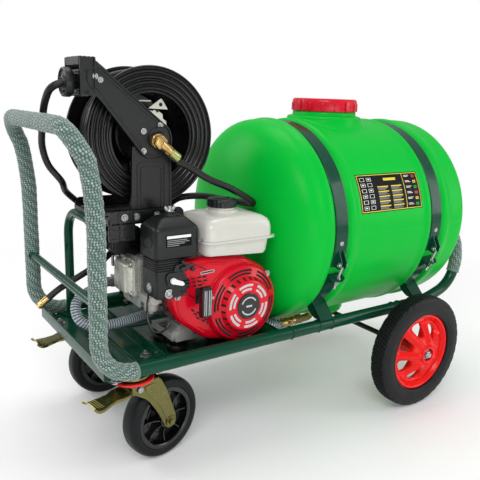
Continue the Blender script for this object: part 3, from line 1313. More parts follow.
for name, side in (("near", -1), ("far", 1)):
    middle = Matrix.Translation(Vector((CASTER_X, side * CASTER_Y, 0)))
    swivel = middle @ Matrix.Rotation(rad(SWIVEL[name]), 4, "Z")
    wheel = swivel @ Matrix.Translation(Vector((TRAIL, 0, CASTER_R)))
    caster_tyre().moved(wheel).make(
        "caster_tyre_ring_" + name, CASTER_TYRE, body="caster_wheel_" + name,
        replaces="caster_tyre_" + name, angle=50)
    caster_hub().moved(wheel).make(
        "caster_hub_ribbed_" + name, GLOSS, body="caster_wheel_" + name,
        replaces="caster_hub_" + name, bevel=0.4)
    caster_fork().moved(swivel).make(
        "caster_fork_pressed_" + name, [ZINC, STEEL, RING_RED], body="caster_" + name,
        replaces="caster_fork_" + name, angle=32, bevel=0.5)
    brake_pedal().moved(swivel).make(
        "caster_pedal_" + name, ZINC, body="brake_" + name,
        replaces="caster_brake_" + name, angle=40, bevel=0.3)
    caster_plate().moved(middle).make(
        "caster_top_plate_" + name, [ZINC, STEEL, GREEN],
        replaces="caster_plate_" + name, bevel=0.5)

# ------------------------------------------------------------------ outlet and ball valve
OUTLET_Z, VALVE_X = 178, 245
part = Part()
elbow = fillet_path([(335, 0, 203), (335, 0, OUTLET_Z), (292, 0, OUTLET_Z)], [16], 3)
part.tube(resample(elbow, 6), 12, 32)
part.ring("z", 11, 17, 196, 203, 335, 0, 32, 1)
part.ring("x", 11, 14.6, 291, 296, 0, OUTLET_Z, 32, 1)
part.plate("x", rounded(circle(0, OUTLET_Z, 15.5, 6, 30), 1, 2), 274, 291)
part.lathe("x", [(12, 272), (14.2, 272.6), (14.2, 274)], 32, 0, OUTLET_Z)
part.make("outlet_elbow_casting", BRONZE, replaces="outlet_elbow", bevel=0.5)

part = Part()
part.lathe("x", [
    (0, 216), (9.4, 216), (11, 217), (10, 218.4), (11, 219.8), (10, 221.2), (11, 222.6),
    (10, 224), (11, 225.4), (12.4, 229), (14.8, 233), (15.5, 240), (15.5, 250), (14.8, 257),
    (12.6, 260)], 40, 0, OUTLET_Z)
part.plate("x", rounded(circle(0, OUTLET_Z, 13.4, 6), 0.8, 2), 260, 271.4)
part.rod("z", 7.5, 190, 194, VALVE_X, 0, 24, 0.8)
part.rod("z", 4.6, OUTLET_Z, 197, VALVE_X, 0)
part.ring("z", 4.4, 6.6, 194, 196.6, VALVE_X, 0, 6, 0.4)
part.make("ball_valve_body", BRASS, replaces="ball_valve", bevel=0.3)

part = Part().plate("z", rounded(
    [(290, -7), (290, 7), (262, 9), (252, 9.6), (236, 9.6), (232, 6), (214, 5), (212, 3),
     (212, -3), (214, -5), (232, -6), (236, -9.6), (252, -9.6), (262, -9)],
    [5, 5, 3, 3, 3, 2, 2, 1, 1, 2, 2, 3, 3, 3], 4), 198.2, 201.4)
part.ring("z", 4, 9.6, 197.4, 199, VALVE_X, 0, 32, 0.4)
part.make("ball_valve_handle", HANDLE_RED, body="valve_lever", replaces="ball_valve_lever",
          bevel=0.9)
Part().bolt((VALVE_X, 0, 201.2), UP, 7, 3.6).make(
    "ball_valve_nut", STEEL, body="valve_lever", angle=30)

# ------------------------------------------------------------------ suction hose
SUCTION = [                                    # x, y, z from the valve to the pump
    (215.2, 0, 178), (203, 0, 178), (180, 10, 181), (158, 60, 194), (142, 115, 214),
    (124, 148, 236), (95, 152, 246), (30, 130, 242), (-60, 95, 242), (-120, 70, 254),
    (-160, 56, 268), (-190, 38, 280), (-222, 10, 290), (-280, -20, 294), (-364, -30, 294),
    (-395, -22, 297), (-418, -8, 315), (-417, 15, 342), (-390, 38, 356), (-350, 62, 362),
    (-300, 110, 358), (-262, 140, 345.5)]


def spiral_rib(length, angle):
    return 0.75 * max(0.0, cos(tau * ((length / 6.2 + angle / tau) % 1))) - 0.55


Part().tube(resample(smooth_path(SUCTION, 4), 1.15), 13, 28, swell=spiral_rib).make(
    "suction_hose_wall", HOSE, replaces="suction_hose", angle=80)

# one clip at each end
part = Part()
part.ring("x", 12.6, 14.6, 203.5, 212.5, 0, OUTLET_Z, 40, 0.5)
part.rod("y", 2.6, -8, 10, 208, OUTLET_Z + 17.4, 14)
part.box(204, 212, -4, 4, OUTLET_Z + 14, OUTLET_Z + 18.5)
hose_end = Vector(SUCTION[-1])
direction = (hose_end - Vector(SUCTION[-2])).normalized()
clip = Part().ring("z", 12.6, 14.6, -4.5, 4.5, 0, 0, 40, 0.5)
clip.box(-5, 5, 13.8, 18.2, -4.5, 4.5)
clip.rod("x", 3, -8, 9, 17, 0, 14)
part.merge(clip.moved(aim(hose_end - direction * 12, direction)))
part.make("suction_hose_clips", STEEL, bevel=0.2)

# ------------------------------------------------------------------ hose reel pedestal
# base: folded sheet with ribs, standing on the two arms of the stand
part = Part()
part.plate("z", rect(-378, -185, -106.5, 118, 8, 5), 560.2, 564.2)
cheek = rounded([(-376, 561), (-187, 561), (-187, 583), (-196, 592), (-367, 592), (-376, 583)],
                [1, 1, 3, 4, 4, 3], 3)
for y0, y1 in ((-106.5, -102.6), (114, 118)):
    part.plate("y", cheek, y0, y1)
for x0, x1 in ((-378, -374.5), (-188.5, -185)):
    part.box(x0, x1, -104, 116, 561, 574)
for x0, x1 in ((-377, -349), (-345, -313)):
    part.plate("y", rect(x0, x1, 522, 562, [4, 4, 1, 1], 4), -106.3, -102)
for x in (-374, -350, -317):
    part.box(x - 1.6, x + 1.6, -108.4, -104, 523, 590)
for z in (528, 548):
    part.box(-377, -313, -108, -104, z - 1.5, z + 1.5)
for x in (-352, -324, -232, -206):
    part.plate("y", rect(x - 3, x + 3, 564, 588, 1.4, 3), -108.6, -104)
for y in (-70, -20, 40, 90):
    part.box(-368, -195, y - 2.2, y + 2.2, 563.6, 566.4)
part.make("reel_base", BLACK, angle=30, bevel=0.8)

part = Part().bolts([(x, -106.4, 577) for x in (-339, -310, -257, -219)], NEAR, 9, 4.4)
part.bolts([(x, y, 564) for x in (-362, -200) for y in (-88, 44, 100)], UP, 12, 6)
part.make("reel_base_bolts", STEEL, angle=30)

# upright plate with a pressed panel
part = Part()
upright = rounded([(-318, 561), (-214, 561), (-217, 735)] + circle(*REEL, 36, 20, -20, 200)
                  + [(-315, 735)], 2.5, 3)
part.plate("y", upright, -95.4, -91)
part.rim(upright, 5, "y", -92, -97)
part.rim(rect(-303, -231, 566, 700, [1, 1, 14, 14], 6), 3.4, "y", -94.5, -97)
part.rim(rect(-294, -240, 566, 690, [1, 1, 10, 10], 6), 2.2, "y", -94.5, -97)
# gusset ribs behind the plate
for x in (-306, -226):
    part.plate("x", rounded([(-91, 564), (-91, 716), (-84, 716), (-58, 564)], [1, 1, 3, 3], 3),
               x - 2, x + 2)
part.plate("z", [(-306, -91), (-226, -91), (-226, -62), (-306, -62)], 598, 601.5)
part.make("reel_upright", BLACK, replaces="reel_pedestal", angle=30, bevel=0.9)

part = Part()
part.rod("y", 24, -91, -76, *REEL, 48, 2)
part.rod("y", 11.8, -112, 74, *REEL, 36)
part.lathe("y", [(0, -10), (62, -10), (66, -9), (68, -6), (68, 32), (66, 35), (62, 36), (0, 36)],
           72, *REEL)
part.ring("y", 28, 34, -13, -9.6, *REEL, 48, 1)
for x, z in circle(*REEL, 54, 5, 12):
    part.rod("y", 4, -12.4, -9.6, x, z, 16)
part.make("reel_spindle", SATIN, slot="black_paint")

# ratchet ring, spring and comb plate, seen through the open middle of the reel
teeth = []
for i in range(72):
    for radius, turn in ((60, 5 * i), (64, 5 * i + 3.4)):
        teeth.append((REEL_X + radius * cos(rad(turn)), REEL_Z + radius * sin(rad(turn))))
Part().plate("y", teeth, -16.4, -13.4).make(
    "reel_ratchet_ring", BLACK, body="reel", slot="zinc", angle=30)

part = Part().rod("y", 3.4, -66, -17.6, -276, 806, 16)
part.tube([(-276 + 6.4 * cos(i * 0.42), -62 + i * 0.18, 806 + 6.4 * sin(i * 0.42))
           for i in range(236)], 1.1, 8)
part.make("reel_pawl_spring", STEEL)

comb = [(-268 + 66 * i / 12, 770 if i % 2 == 0 else 775) for i in range(13)]
part = Part().plate("y", [(-270, 742), (-206, 742)] + comb[::-1], -36, -33.4)
part.box(-270, -206, -36, -17.4, 742, 745)
part.make("reel_comb_plate", PALE_ZINC, angle=30, bevel=0.4)

# ------------------------------------------------------------------ reel drum and wound hose
DRUM_R, FLANGE_R = 100, 160.6


def flange(y_in, y_out):
    """(radius, y) of a ring with four round-backed ribs and a rolled rim; y_in faces the hose."""
    height, last = y_out - y_in, FLANGE_R - 5
    out = []
    for i in range(91):
        r = DRUM_R + (last - DRUM_R) * i / 90
        lift = 0.0
        for rib_r in (110, 122.5, 135, 147):
            offset = (r - rib_r) / 5
            if abs(offset) < 1:
                lift = max(lift, cos(offset * pi / 2) ** 0.8)
        out.append((r, y_in + height * (0.22 + 0.74 * lift)))
    return out + [
        (last, y_in + height * 0.5), (FLANGE_R - 3.5, y_out - height * 0.1),
        (FLANGE_R - 1.6, y_out), (FLANGE_R - 0.3, y_out - height * 0.25),
        (FLANGE_R, y_in + height * 0.5), (FLANGE_R - 0.3, y_in + height * 0.1),
        (FLANGE_R - 1.6, y_in), (last, y_in + height * 0.06), (DRUM_R, y_in),
        (DRUM_R, y_in + height * 0.42)]


part = Part()
part.lathe("y", flange(-64, -70.4), 144, *REEL)
part.lathe("y", flange(62, 68.4), 144, *REEL)
part.lathe("y", [(104, -64), (104, 62), (100, 62), (100, -64), (104, -64)], 96, *REEL)
# far wall of the drum: ribbed disc round the spindle
part.lathe("y", [(13, 61), (22, 61), (26, 64), (60, 64), (63, 62.4), (66, 62.4), (69, 64),
                 (96, 64), (100, 62), (100, 67.4), (13, 67.4), (13, 61)], 96, *REEL)
for i in range(8):
    c, s = cos(rad(45 * i)), sin(rad(45 * i))
    part.plate("y", [(REEL_X + r * c - w * s, REEL_Z + r * s + w * c)
                     for r, w in ((24, 2.4), (24, -2.4), (98, -2.4), (98, 2.4))], 57, 64.2)
part.make("reel_flanges", BLACK, body="reel", replaces="reel_drum", angle=50)

Part().bolts([(x, 68.2, z) for x, z in circle(*REEL, 104, 6, 20)], FAR, 10, 4).make(
    "reel_flange_bolts", STEEL, body="reel", angle=30)

# the hose, wound in two layers across the drum
HOSE_R, STEPS, TURNS = 8, 56, 7
path = []
count = TURNS * STEPS
for layer in range(2):
    radius = 104.8 + HOSE_R + layer * (HOSE_R * 1.78)
    for i in range(count + (0 if layer else 1)):
        a = tau * i / STEPS
        across = 1 - i / count if layer else i / count
        path.append((REEL_X + radius * cos(a), -60 + HOSE_R + (116 - 2 * HOSE_R) * across,
                     REEL_Z + radius * sin(a)))
Part().tube(resample(path, 9), HOSE_R, 14).make(
    "reel_hose_turns", RUBBER, body="reel", replaces="reel_hose_pack", angle=60)

# pawl: three-cornered bracket, toothed strip and return rod, on a link and post
part = Part()
part.plate("y", rounded([(-219, 843), (-202, 817), (-253, 819)], [3, 3, 2], 4), -51.5, -49)
part.plate("y", rounded(
    [(-253, 816), (-241, 813), (-237, 816), (-229, 809), (-224, 812), (-215, 806), (-214, 795),
     (-206, 790), (-202, 770), (-212, 776), (-226, 791)], 0.8, 2), -49.6, -47)
part.rod("x", 2.3, -291, -246, -50, 836)
part.plate("y", rounded([(-251, 783), (-241, 777), (-220, 797), (-230, 806)], [5, 5, 3, 3], 4),
           -50.2, -47.4)
part.rod("y", 4.2, -99.8, -47.6, -244, 785, 24)
part.make("reel_pawl", PALE_ZINC, slot="steel", bevel=0.4)
Part().rod("y", 4.6, -51.9, -51.2, -221, 828, 24).make("reel_pawl_hole", OPENING)

# ------------------------------------------------------------------ guide arm and roller box
ARM_X, ARM_Z, ARM_R = -263, 750, 44            # wide end at the spindle
TIP_X, TIP_Z, TIP_R = -395, 880, 24            # narrow end at the rollers
lean = degrees(atan2(TIP_Z - ARM_Z, TIP_X - ARM_X))
taper = degrees(asin((ARM_R - TIP_R) / hypot(TIP_X - ARM_X, TIP_Z - ARM_Z)))
arm = circle(ARM_X, ARM_Z, ARM_R, 30, lean + 90 - taper, lean + 270 + taper)
arm += circle(TIP_X, TIP_Z, TIP_R, 18, lean - 90 + taper, lean + 90 - taper)
part = Part()
part.plate("y", arm, -103.2, -99.6)
part.rim(arm, 3.4, "y", -101, -106.6)
part.rim(inset(arm, 9), 1.6, "y", -102.6, -104.4)
part.ring("y", 12.3, 26, -106.4, -99.6, *REEL, 64, 1.6)
part.make("guide_arm_plate", SATIN, replaces="guide_arm", angle=30, bevel=0.8)

part = Part()
part.bolts([(x, -104, z) for x, z in ((-290, 770), (-248, 784), (-290, 726), (-228, 727))],
           NEAR, 7.4, 4.2)
part.bolts([(x, -103.8, z) for x, z in ((-400, 884), (-389, 877))], NEAR, 6.6, 3.8)
part.make("guide_arm_bolts", STEEL, angle=30)

part = Part()
x0, x1 = -434, -400
# side walls; flange_y is the y range of each wall with its edge flanges
for y0, y1, flange_y in ((-104.4, -100.2, (-107.8, -100.2)), (-19.6, -16, (-19.6, -13))):
    part.plate("y", rounded([(x0, 844), (x0, 922), (x1, 922), (x1, 844)], 2, 3), y0, y1)
    part.box(x0, x0 + 3, *flange_y, 844, 922)
    part.box(x1 - 3, x1, *flange_y, 858, 922)
part.plate("x", rect(-103.4, -17, 917.8, 921.6, 0.6, 2), x0 + 1, x1 - 1)
for x in (-430, -421, -412, -403):
    part.box(x - 1.5, x + 1.5, -104, -16.4, 921.2, 923.4)
part.plate("y", [(x0, 906), (x0 + 3, 906), (x0 + 3, 921), (x0, 921)], -104, -16.4)
part.plate("y", [(x0 + 1, 842), (x0 + 5, 842), (x0 + 5, 845), (x0 + 1, 845)], -104, -16.4)
# gusset from the arm tip to the box
part.plate("y", rounded([(-402, 862), (-402, 918), (-396, 916), (-366, 893), (-384, 862)],
                        [1, 3, 3, 6, 3], 3), -99.4, -96.4)
part.make("roller_box", SATIN, angle=30, bevel=0.7)

ROLLERS = (("roller_upper", 893), ("roller_lower", 851))
part = Part()
for _, z in ROLLERS:
    part.rod("y", 4.3, -105.4, -15, -418, z)
part.make("roller_pins", DARK_STEEL, slot="steel", angle=30)
for name, z in ROLLERS:
    profile = [(4.7, -98.6), (8.4, -98.6), (9.4, -97.6)]
    for y in range(-96, -24, 7):
        profile += [(9.5, y), (9.5, y + 4.2), (8.5, y + 5), (8.5, y + 6.2)]
    profile += [(9.5, -22), (8.4, -20.9), (4.7, -20.9), (4.7, -98.6)]
    Part().lathe("y", profile, 36, -418, z).make(
        name + "_sleeve", GLOSS, body=name, replaces="guide_" + name, angle=30)

# ------------------------------------------------------------------ swivel on the spindle's end
part = Part()
part.rod("y", 16.4, -122, -107, REEL_X - 10, REEL_Z - 6, 40, 1.4)
part.plate("y", rounded(circle(REEL_X - 9, REEL_Z - 8, 16, 6, 12), 1, 2), -133, -121)
part.lathe("y", [(12, -133), (12, -134.4), (9, -134.8), (0, -134.6)], 36, REEL_X - 9, REEL_Z - 8)
outlet = aim((-252, -127, 738.5), (cos(rad(-38)), 0, sin(rad(-38))))
stub = Part().lathe("z", [(0, -8), (11.5, -8), (11.5, 20), (10.4, 22), (10.4, 24)], 32)
stub.plate("z", rounded(circle(0, 0, 12.4, 6), 0.8, 2), 10, 20)
part.merge(stub.moved(outlet))
part.make("reel_swivel_brass", BRASS, replaces="reel_swivel", angle=32, bevel=0.4)

Part().lathe("z", [
    (9.8, 24), (11.4, 24.6), (11.9, 27), (11.4, 29.4), (11.9, 32), (11.4, 34.6), (11.9, 37),
    (11.4, 39.6), (11.9, 42), (11.4, 44.6), (11.8, 46), (10.6, 48), (8.6, 48.4)], 36).moved(
        outlet).make("reel_swivel_ferrule", FERRULE, angle=40)


# ------------------------------------------------------------------ delivery and spray hoses
def rubber_hose(name, points, radius, ripple, twist, replaces):
    """Smooth hose; ripple and twist are the rate and length of its slight unevenness."""
    def uneven(length, angle):
        return 0.10 * sin(length * ripple) + 0.12 * sin(3 * angle + length / twist)

    Part().tube(resample(smooth_path(points, 5), 3.5), radius, 28, swell=uneven).make(
        name, RUBBER, replaces=replaces, angle=60)


DELIVERY = [                                   # x, y, z from the swivel to the pump
    (-216, -125, 702), (-190, -134, 690), (-145, -145, 662), (-85, -149, 637), (-40, -148, 614),
    (-12, -144, 597), (0, -128, 589), (0, -100, 586), (-10, -66, 585), (-44, -42, 591),
    (-100, -28, 600), (-150, -5, 592), (-168, 30, 556), (-166, 80, 510), (-161, 125, 465),
    (-160, 148, 430), (-160, 150, 398.8)]
rubber_hose("delivery_hose_cover", DELIVERY, radius=8.5, ripple=0.9, twist=40,
            replaces="delivery_hose")
SPRAY = [                                      # x, y, z from the reel to the end fitting
    (-264, -38, 903), (-325, -46, 892), (-380, -56, 875.5), (-418, -58.5, 872),
    (-452, -58.5, 870), (-476, -50, 858), (-480, -18, 832), (-476, 20, 796), (-470, 52, 760),
    (-464, 74, 722), (-450, 80, 680), (-420, 80, 640), (-398, 118, 608), (-358, 138, 572),
    (-312, 140, 530), (-285, 124, 490), (-283, 92, 462), (-305, 72, 445), (-350, 62, 420),
    (-400, 60, 396), (-446, 60, 373), (-478, 60, 350), (-492, 60, 341)]
rubber_hose("spray_hose_cover", SPRAY, radius=8, ripple=0.8, twist=50, replaces="spray_hose")

part = Part().lathe("z", [
    (8.2, -8.6), (26, -9), (30, -8), (31, -5), (31, 5), (30, 8), (27.6, 9), (26, 8), (25, 5.6),
    (13.4, 6.4), (12, 9), (8.2, 9.6), (8.2, -8.6)], 64)
for x, y in circle(0, 0, 18.8, 3, 30):
    part.rod("z", 2.6, 4.6, 8.4, x, y, 12)
part.moved(aim((-447, -58.5, 870.5), REAR)).make("hose_stop_disc", SATIN)

hose_end = Vector(SPRAY[-1])
direction = (hose_end - Vector(SPRAY[-3])).normalized()
part = Part().lathe("z", [(0, -22), (8.8, -22), (9.2, -20), (8.8, -18), (9.2, -15), (8.8, -12),
                          (9.2, -9), (8.9, -6), (8.9, -4)], 32)
part.plate("z", rounded(circle(0, 0, 10, 6), 0.7, 2), -4, 4)
part.lathe("z", [(7.4, 4), (7.4, 9), (5, 9.6), (0, 9.6)], 28)
part.moved(aim(hose_end - direction * 4, direction)).make(
    "spray_hose_end", BRASS, angle=32, bevel=0.3)

# ------------------------------------------------------------------ engine mounts and feet
MOUNTS = [(-192, -87), (-192, -12), (-30, -87), (-30, -12)]  # x, y
for i, (x, y) in enumerate(MOUNTS, 1):
    Part().lathe("z", [
        (0, 218.3), (26, 218.3), (27, 219.4), (27, 228), (26, 230), (23.6, 231), (22.4, 233),
        (23.4, 236), (25.6, 240), (25.6, 246), (24.4, 248.6), (20, 249.2), (0, 249.2)],
        56, x, y).make("engine_mount_rubber_%d" % i, RUBBER, slot="black_plastic",
                       replaces="engine_mount_%d" % i, angle=40)

# two folded feet across the engine, with raised lips
part = Part()
for x0, x1 in ((-216, -168), (-54, -6)):
    part.plate("y", rounded(
        [(x0, 249.4), (x1, 249.4), (x1, 267), (x1 - 3, 267), (x1 - 3, 253), (x0 + 3, 253),
         (x0 + 3, 267), (x0, 267)], [2, 2, 0.5, 0.5, 2, 2, 0.5, 0.5], 3), -107, 8)
for y in (-107, 0):
    part.plate("z", rect(-214, -8, y, y + 8, 1, 2), 249.6, 267)
# cast lugs that rise from the near side to the crankcase
part.plate("y", rounded([(-214, 253.4), (-150, 253.4), (-150, 268), (-160, 284), (-178, 293),
                         (-196, 284), (-214, 268)], [2, 2, 4, 6, 8, 6, 4], 4), -124, -100)
for x in (-203, -164):
    part.rod("z", 8.5, 253.4, 279, x, -112, 24, 1.4)
part.make("engine_feet", FOOT_ALLOY, angle=30, bevel=0.7)
part = Part()
for x, y in MOUNTS:
    part.bolt((x, y, 253), UP, 17, 9, shank=2)
    part.ring("z", 5, 13, 253, 255.4, x, y, 32, 0.5)
part.make("engine_foot_bolts", STEEL, angle=30)

# ------------------------------------------------------------------ engine block
part = Part()
part.plate("y", rounded(
    [(-168, 266), (13, 266), (17, 300), (5, 400), (-6, 432), (-26, 452), (-120, 452),
     (-168, 440)], [6, 10, 12, 14, 12, 14, 14, 12], 5), -127, 30)
case = rounded([(-165, 272), (8, 272), (12, 300), (1, 398), (-10, 428), (-28, 446), (-120, 446),
                (-163, 436)], 12, 5)
for y0, y1 in ((-52, -44), (22, 31.5)):
    part.rim(case, -4.5, "y", y0, y1)
part.rod("y", 46, 29, 44.2, *CRANK, 56, 2.5)
for x, z in circle(*CRANK, 50, 6, 30):
    part.rod("y", 8, 26, 40, x, z, 20, 1.5)
for x in (-150, -110, -20):
    part.rod("y", 9, 24, 36, x, 284, 20, 1.5)
part.rod("x", 12, 12, 24, -60, 300, 24, 1)
part.make("engine_crankcase", ALLOY, replaces="engine_block", bevel=0.8)

part = Part().plate("y", rect(-304, -170, 378, 470, 6, 4), -96, -12)
for i in range(14):
    x = -300 + 9.2 * i
    part.plate("x", rect(-104, -4, 352, 474, 8, 4), x, x + 2.6)
part.box(-302, -170, -40, -30, 352, 472)
part.make("engine_cylinder_fins", ALLOY)

# carburettor: body, inlet flange and float bowl
part = Part().box(-302, -265, -146, -104, 372, 392)
part.rod("y", 15, -150, -104, -283, 384, 32, 1.5)
part.lathe("z", [(0, 350), (12, 350), (15.5, 352), (17, 356), (17, 370), (18.6, 371),
                 (18.6, 374), (16, 375)], 40, -283, -126)
part.make("carburettor", ALLOY, bevel=0.8)
part = Part()
part.bolt((-283, -126, 350), DOWN, 10, 5)
part.bolt((-264, -126, 360), FRONT, 8, 4)
part.bolts([(x, -146, 388) for x in (-296, -270)], NEAR, 7, 4)
part.bolts([(x, 40, z) for x, z in circle(*CRANK, 50, 6, 30)], FAR, 9, 4)
part.make("carburettor_bolts", STEEL, slot="brass", angle=30)

# rocker cover on the end of the cylinder
ROCKER_CORNERS = [(y, z) for y in (-90, -18) for z in (387, 459)]
part = Part().stack("x", -100, -8, 376, 470, [
    (-306.4, 0, 13), (-313, 0, 13), (-314.4, 2, 12), (-315, 7, 11), (-328, 10, 10),
    (-331.4, 14, 8), (-332, 20, 7)])
for y, z in ROCKER_CORNERS:
    part.rod("x", 8, -318.6, -306.4, y, z, 24, 1)
part.make("rocker_cover_casting", COVER_ALLOY, replaces="rocker_cover", angle=40)
part = Part().bolts([(-318.4, y, z) for y, z in ROCKER_CORNERS], REAR, 9, 5)
part.bolt((-318.4, -54, 466), REAR, 7, 4)
part.make("rocker_cover_bolts", STEEL, angle=30)

# ------------------------------------------------------------------ fan shroud
SHROUD = rounded(
    [(-262, 476), (-160, 482), (-60, 472)] + circle(*CRANK, 106, 22, 62, -88)
    + [(-112, 262), (-168, 276), (-244, 334), (-262, 380)],
    [10, 10, 8] + [1] * 23 + [14, 14, 20, 16], 4)
part = Part()
loops = [at("y", inset(SHROUD, depth) if depth else SHROUD, y) for y, depth in (
    (-129, 0), (-176, 0), (-183, 1.2), (-187.6, 4.4), (-190, 9.4))]
part.loft(loops, caps=False)
# face from the outline to the round opening, then the opening's lip
front = loops[-1]
angles = [atan2(p[2] - CRANK_Z, p[0] - CRANK_X) for p in front]


def opening(radius, y):
    return [(CRANK_X + radius * cos(a), y, CRANK_Z + radius * sin(a)) for a in angles]


part.loft([[tuple(Vector(a).lerp(Vector(b), t)) for a, b in zip(front, opening(93, -190))]
           for t in (0, 0.34, 0.67, 1)], caps=False)
part.loft([opening(r, y) for r, y in ((93, -190), (91, -190.3), (89.5, -189), (89, -184))],
          caps=False)
part.make("fan_shroud_shell", ENGINE_RED, replaces="fan_shroud", angle=40, solid=2)

# raised beads along the top and the cylinder side, and round the opening
part = Part()
for bead in ([(-246, 462), (-160, 467), (-118, 461)],
             [(-247, 462), (-248, 384), (-234, 345), (-176, 296)]):
    path = smooth_path([(x, -190.2, z) for x, z in bead], 6)
    part.tube(resample(path, 5), 2.6, 10)
part.ring("y", 95.5, 100.5, -192.4, -189, *CRANK, 96, 1.2)
part.make("fan_shroud_beads", ENGINE_RED, angle=50)


def louvre(part, x, z, wide, high, tilt):
    """A tilted dark slot on the shroud's near face."""
    c, s = cos(rad(tilt)), sin(rad(tilt))
    outline = rect(-wide / 2, wide / 2, -high / 2, high / 2, min(wide, high) * 0.45, 3)
    part.plate("y", [(x + u * c - v * s, z + u * s + v * c) for u, v in outline], -190.6, -189.8)


part = Part()
for row, z in enumerate((437, 427.5, 418)):
    for k in range(4 - row // 2):
        louvre(part, -222 + 15.5 * k + row * 2, z - 0.02 * k, 11.5, 4.4, 3)
for row, z in enumerate((452, 442)):
    for k in range(3):
        louvre(part, -54 + 15 * k - row, z - 4.5 * k, 11, 4.2, -22)
for row in range(3):
    for k in range(3):
        louvre(part, -206 + 15 * k + row * 7, 358 - 9.5 * k - row * 11, 11.5, 4.2, -38)
for row in range(2):
    for k in range(2):
        louvre(part, 8 - row * 9, 286 + 13 * k + row * 3, 4.2, 10, -12)
part.make("fan_shroud_slots", OPENING, angle=50)

# the bright-edged slot by the air cleaner and the dark panel below it
Part().rim(rounded([(-187, 443), (-149, 445), (-149, 452), (-187, 450)], 3.4, 4),
           1.6, "y", -189.6, -191.6).make("fan_shroud_trim", SILVER, angle=40)
part = Part()
louvre(part, -168, 447.5, 34, 4.6, 3)
part.plate("y", rect(-200, -176, 372, 412, 4, 4), -190.9, -190.2)
part.make("fan_shroud_trim_dark", OPENING, angle=40)
Part().bolts([(x, -190.2, z) for x, z in (
    (-146, 399), (-72, 253.5), (-247, 396), (-232, 470), (10, 420))], NEAR, 8, 4).make(
        "fan_shroud_bolts", STEEL, angle=30)

# ------------------------------------------------------------------ recoil starter
# deep dish: outer face, then back along the inner face, as (radius, y)
Part().lathe("y", [
    (99, -190.6), (99, -194.4), (97.6, -196.4), (94.4, -205), (92, -206.6), (72, -208.4),
    (69.4, -210.4), (64, -223.4), (61, -225.6), (54, -226.4), (0, -226.4), (0, -223.4),
    (53, -223.4), (58.4, -222.6), (61, -220.6), (66.6, -207.4), (70.6, -205.2), (90, -203.6),
    (91.4, -202.6), (95, -193.6), (96, -190.6), (99, -190.6)], 120, *CRANK).make(
        "recoil_dish", ENGINE_RED, replaces="recoil_cover", angle=40)


def arc_slot(part, r0, r1, start, end, y, mat=0, thick=0.5):
    outline = circle(*CRANK, r1, 12, start, end) + circle(*CRANK, r0, 12, end, start)
    part.plate("y", rounded(outline, 1.6, 3), y, y + thick, mat)


part = Part()
for i in range(6):
    turn = 60 * i + 14
    arc_slot(part, 75, 79.6, turn + 4, turn + 50, -208.6)
    arc_slot(part, 83, 88, turn + 3, turn + 51, -207.8)
    arc_slot(part, 50, 56.4, turn + 4, turn + 48, -226.9, mat=1)
    arc_slot(part, 39.6, 45.4, turn + 6, turn + 46, -226.9, mat=1)
# side slots in the sloping wall
for i in range(24):
    c, s = cos(rad(15 * i + 7)), sin(rad(15 * i + 7))
    outer = [(CRANK_X + (r + 0.5) * c - w * s, y - 0.3, CRANK_Z + (r + 0.5) * s + w * c)
             for r, y, w in ((69.6, -211.4, -2.6), (69.6, -211.4, 2.6), (64.6, -223.2, 2.6),
                             (64.6, -223.2, -2.6))]
    part.loft([outer, [(x - 0.9 * c, y + 0.7, z - 0.9 * s) for x, y, z in outer]])
part.make("recoil_slots", [OPENING, SILVER], angle=40)
Part().lathe("y", [(33, -226.2), (33, -228.2), (31.6, -229.2), (28, -229.4), (27, -228.6),
                   (0, -228.9)], 72, *CRANK).make("recoil_emblem", GLOSS, angle=30)
part = Part()
arc_slot(part, 20, 23.6, 30, 160, -229.3, thick=0.6)
arc_slot(part, 20, 23.6, 205, 335, -229.3, thick=0.6)
part.plate("y", rect(CRANK_X - 9, CRANK_X + 9, CRANK_Z - 2.4, CRANK_Z + 2.4, 2.2, 4),
           -229.5, -228.8)
part.make("recoil_emblem_arcs", SILVER, angle=30)
Part().bolts([(x, -201.5, z) for x, z in circle(*CRANK, 95.6, 3, 42)], NEAR, 8, 4).make(
    "recoil_bolts", STEEL, angle=30)

# grip with its cord and eyelet
grip = rounded([(-236, 352), (-222, 350), (-216, 356), (-216, 420), (-222, 426), (-236, 424)],
               [4, 6, 3, 3, 6, 4], 5)
Part().plate("x", grip, -205.6, -180.4).make(
    "recoil_grip_body", GLOSS, body="starter_grip", replaces="recoil_grip", bevel=3.2, segments=4)
Part().rod("y", 6, -217, -192, -193, 388, 24, 1.2).make(
    "recoil_grip_cord", SATIN, body="starter_grip")
part = Part()
for x in (-201, -196.4, -189.6, -185):
    part.plate("x", rounded([(-237.2, 358), (-235, 356.4), (-235, 419), (-237.2, 417)], 0.8, 2),
               x - 0.9, x + 0.9)
part.make("recoil_grip_ribs", SILVER, body="starter_grip")
Part().torus("y", 9.5, 3, 0, 0, 0, 40, 12).moved(
    Matrix.Translation(Vector((-139, -194.4, 365)))).make("recoil_rope_eyelet", GLOSS, angle=50)

# fan and crankshaft behind the shroud
Part().rod("y", 12, -184, 66, *CRANK, 40, 2).make(
    "crankshaft_bar", STEEL, body="crankshaft", replaces="crankshaft_fan")
part = Part()
part.ring("y", 12, 74, -152, -146, *CRANK, 72, 1)
part.rod("y", 34, -184, -152, *CRANK, 48, 2)
for i in range(14):
    a = tau * i / 14
    blade = []
    for k in range(7):
        r, b = 34 + 39 * k / 6, a + 0.35 * (k / 6) ** 1.3
        blade.append((CRANK_X + r * cos(b), CRANK_Z + r * sin(b)))
    blade += [(x + 1.8 * sin(a), z - 1.8 * cos(a)) for x, z in reversed(blade)]
    part.plate("y", blade, -172, -152)
part.make("cooling_fan", SATIN, body="crankshaft", angle=40)

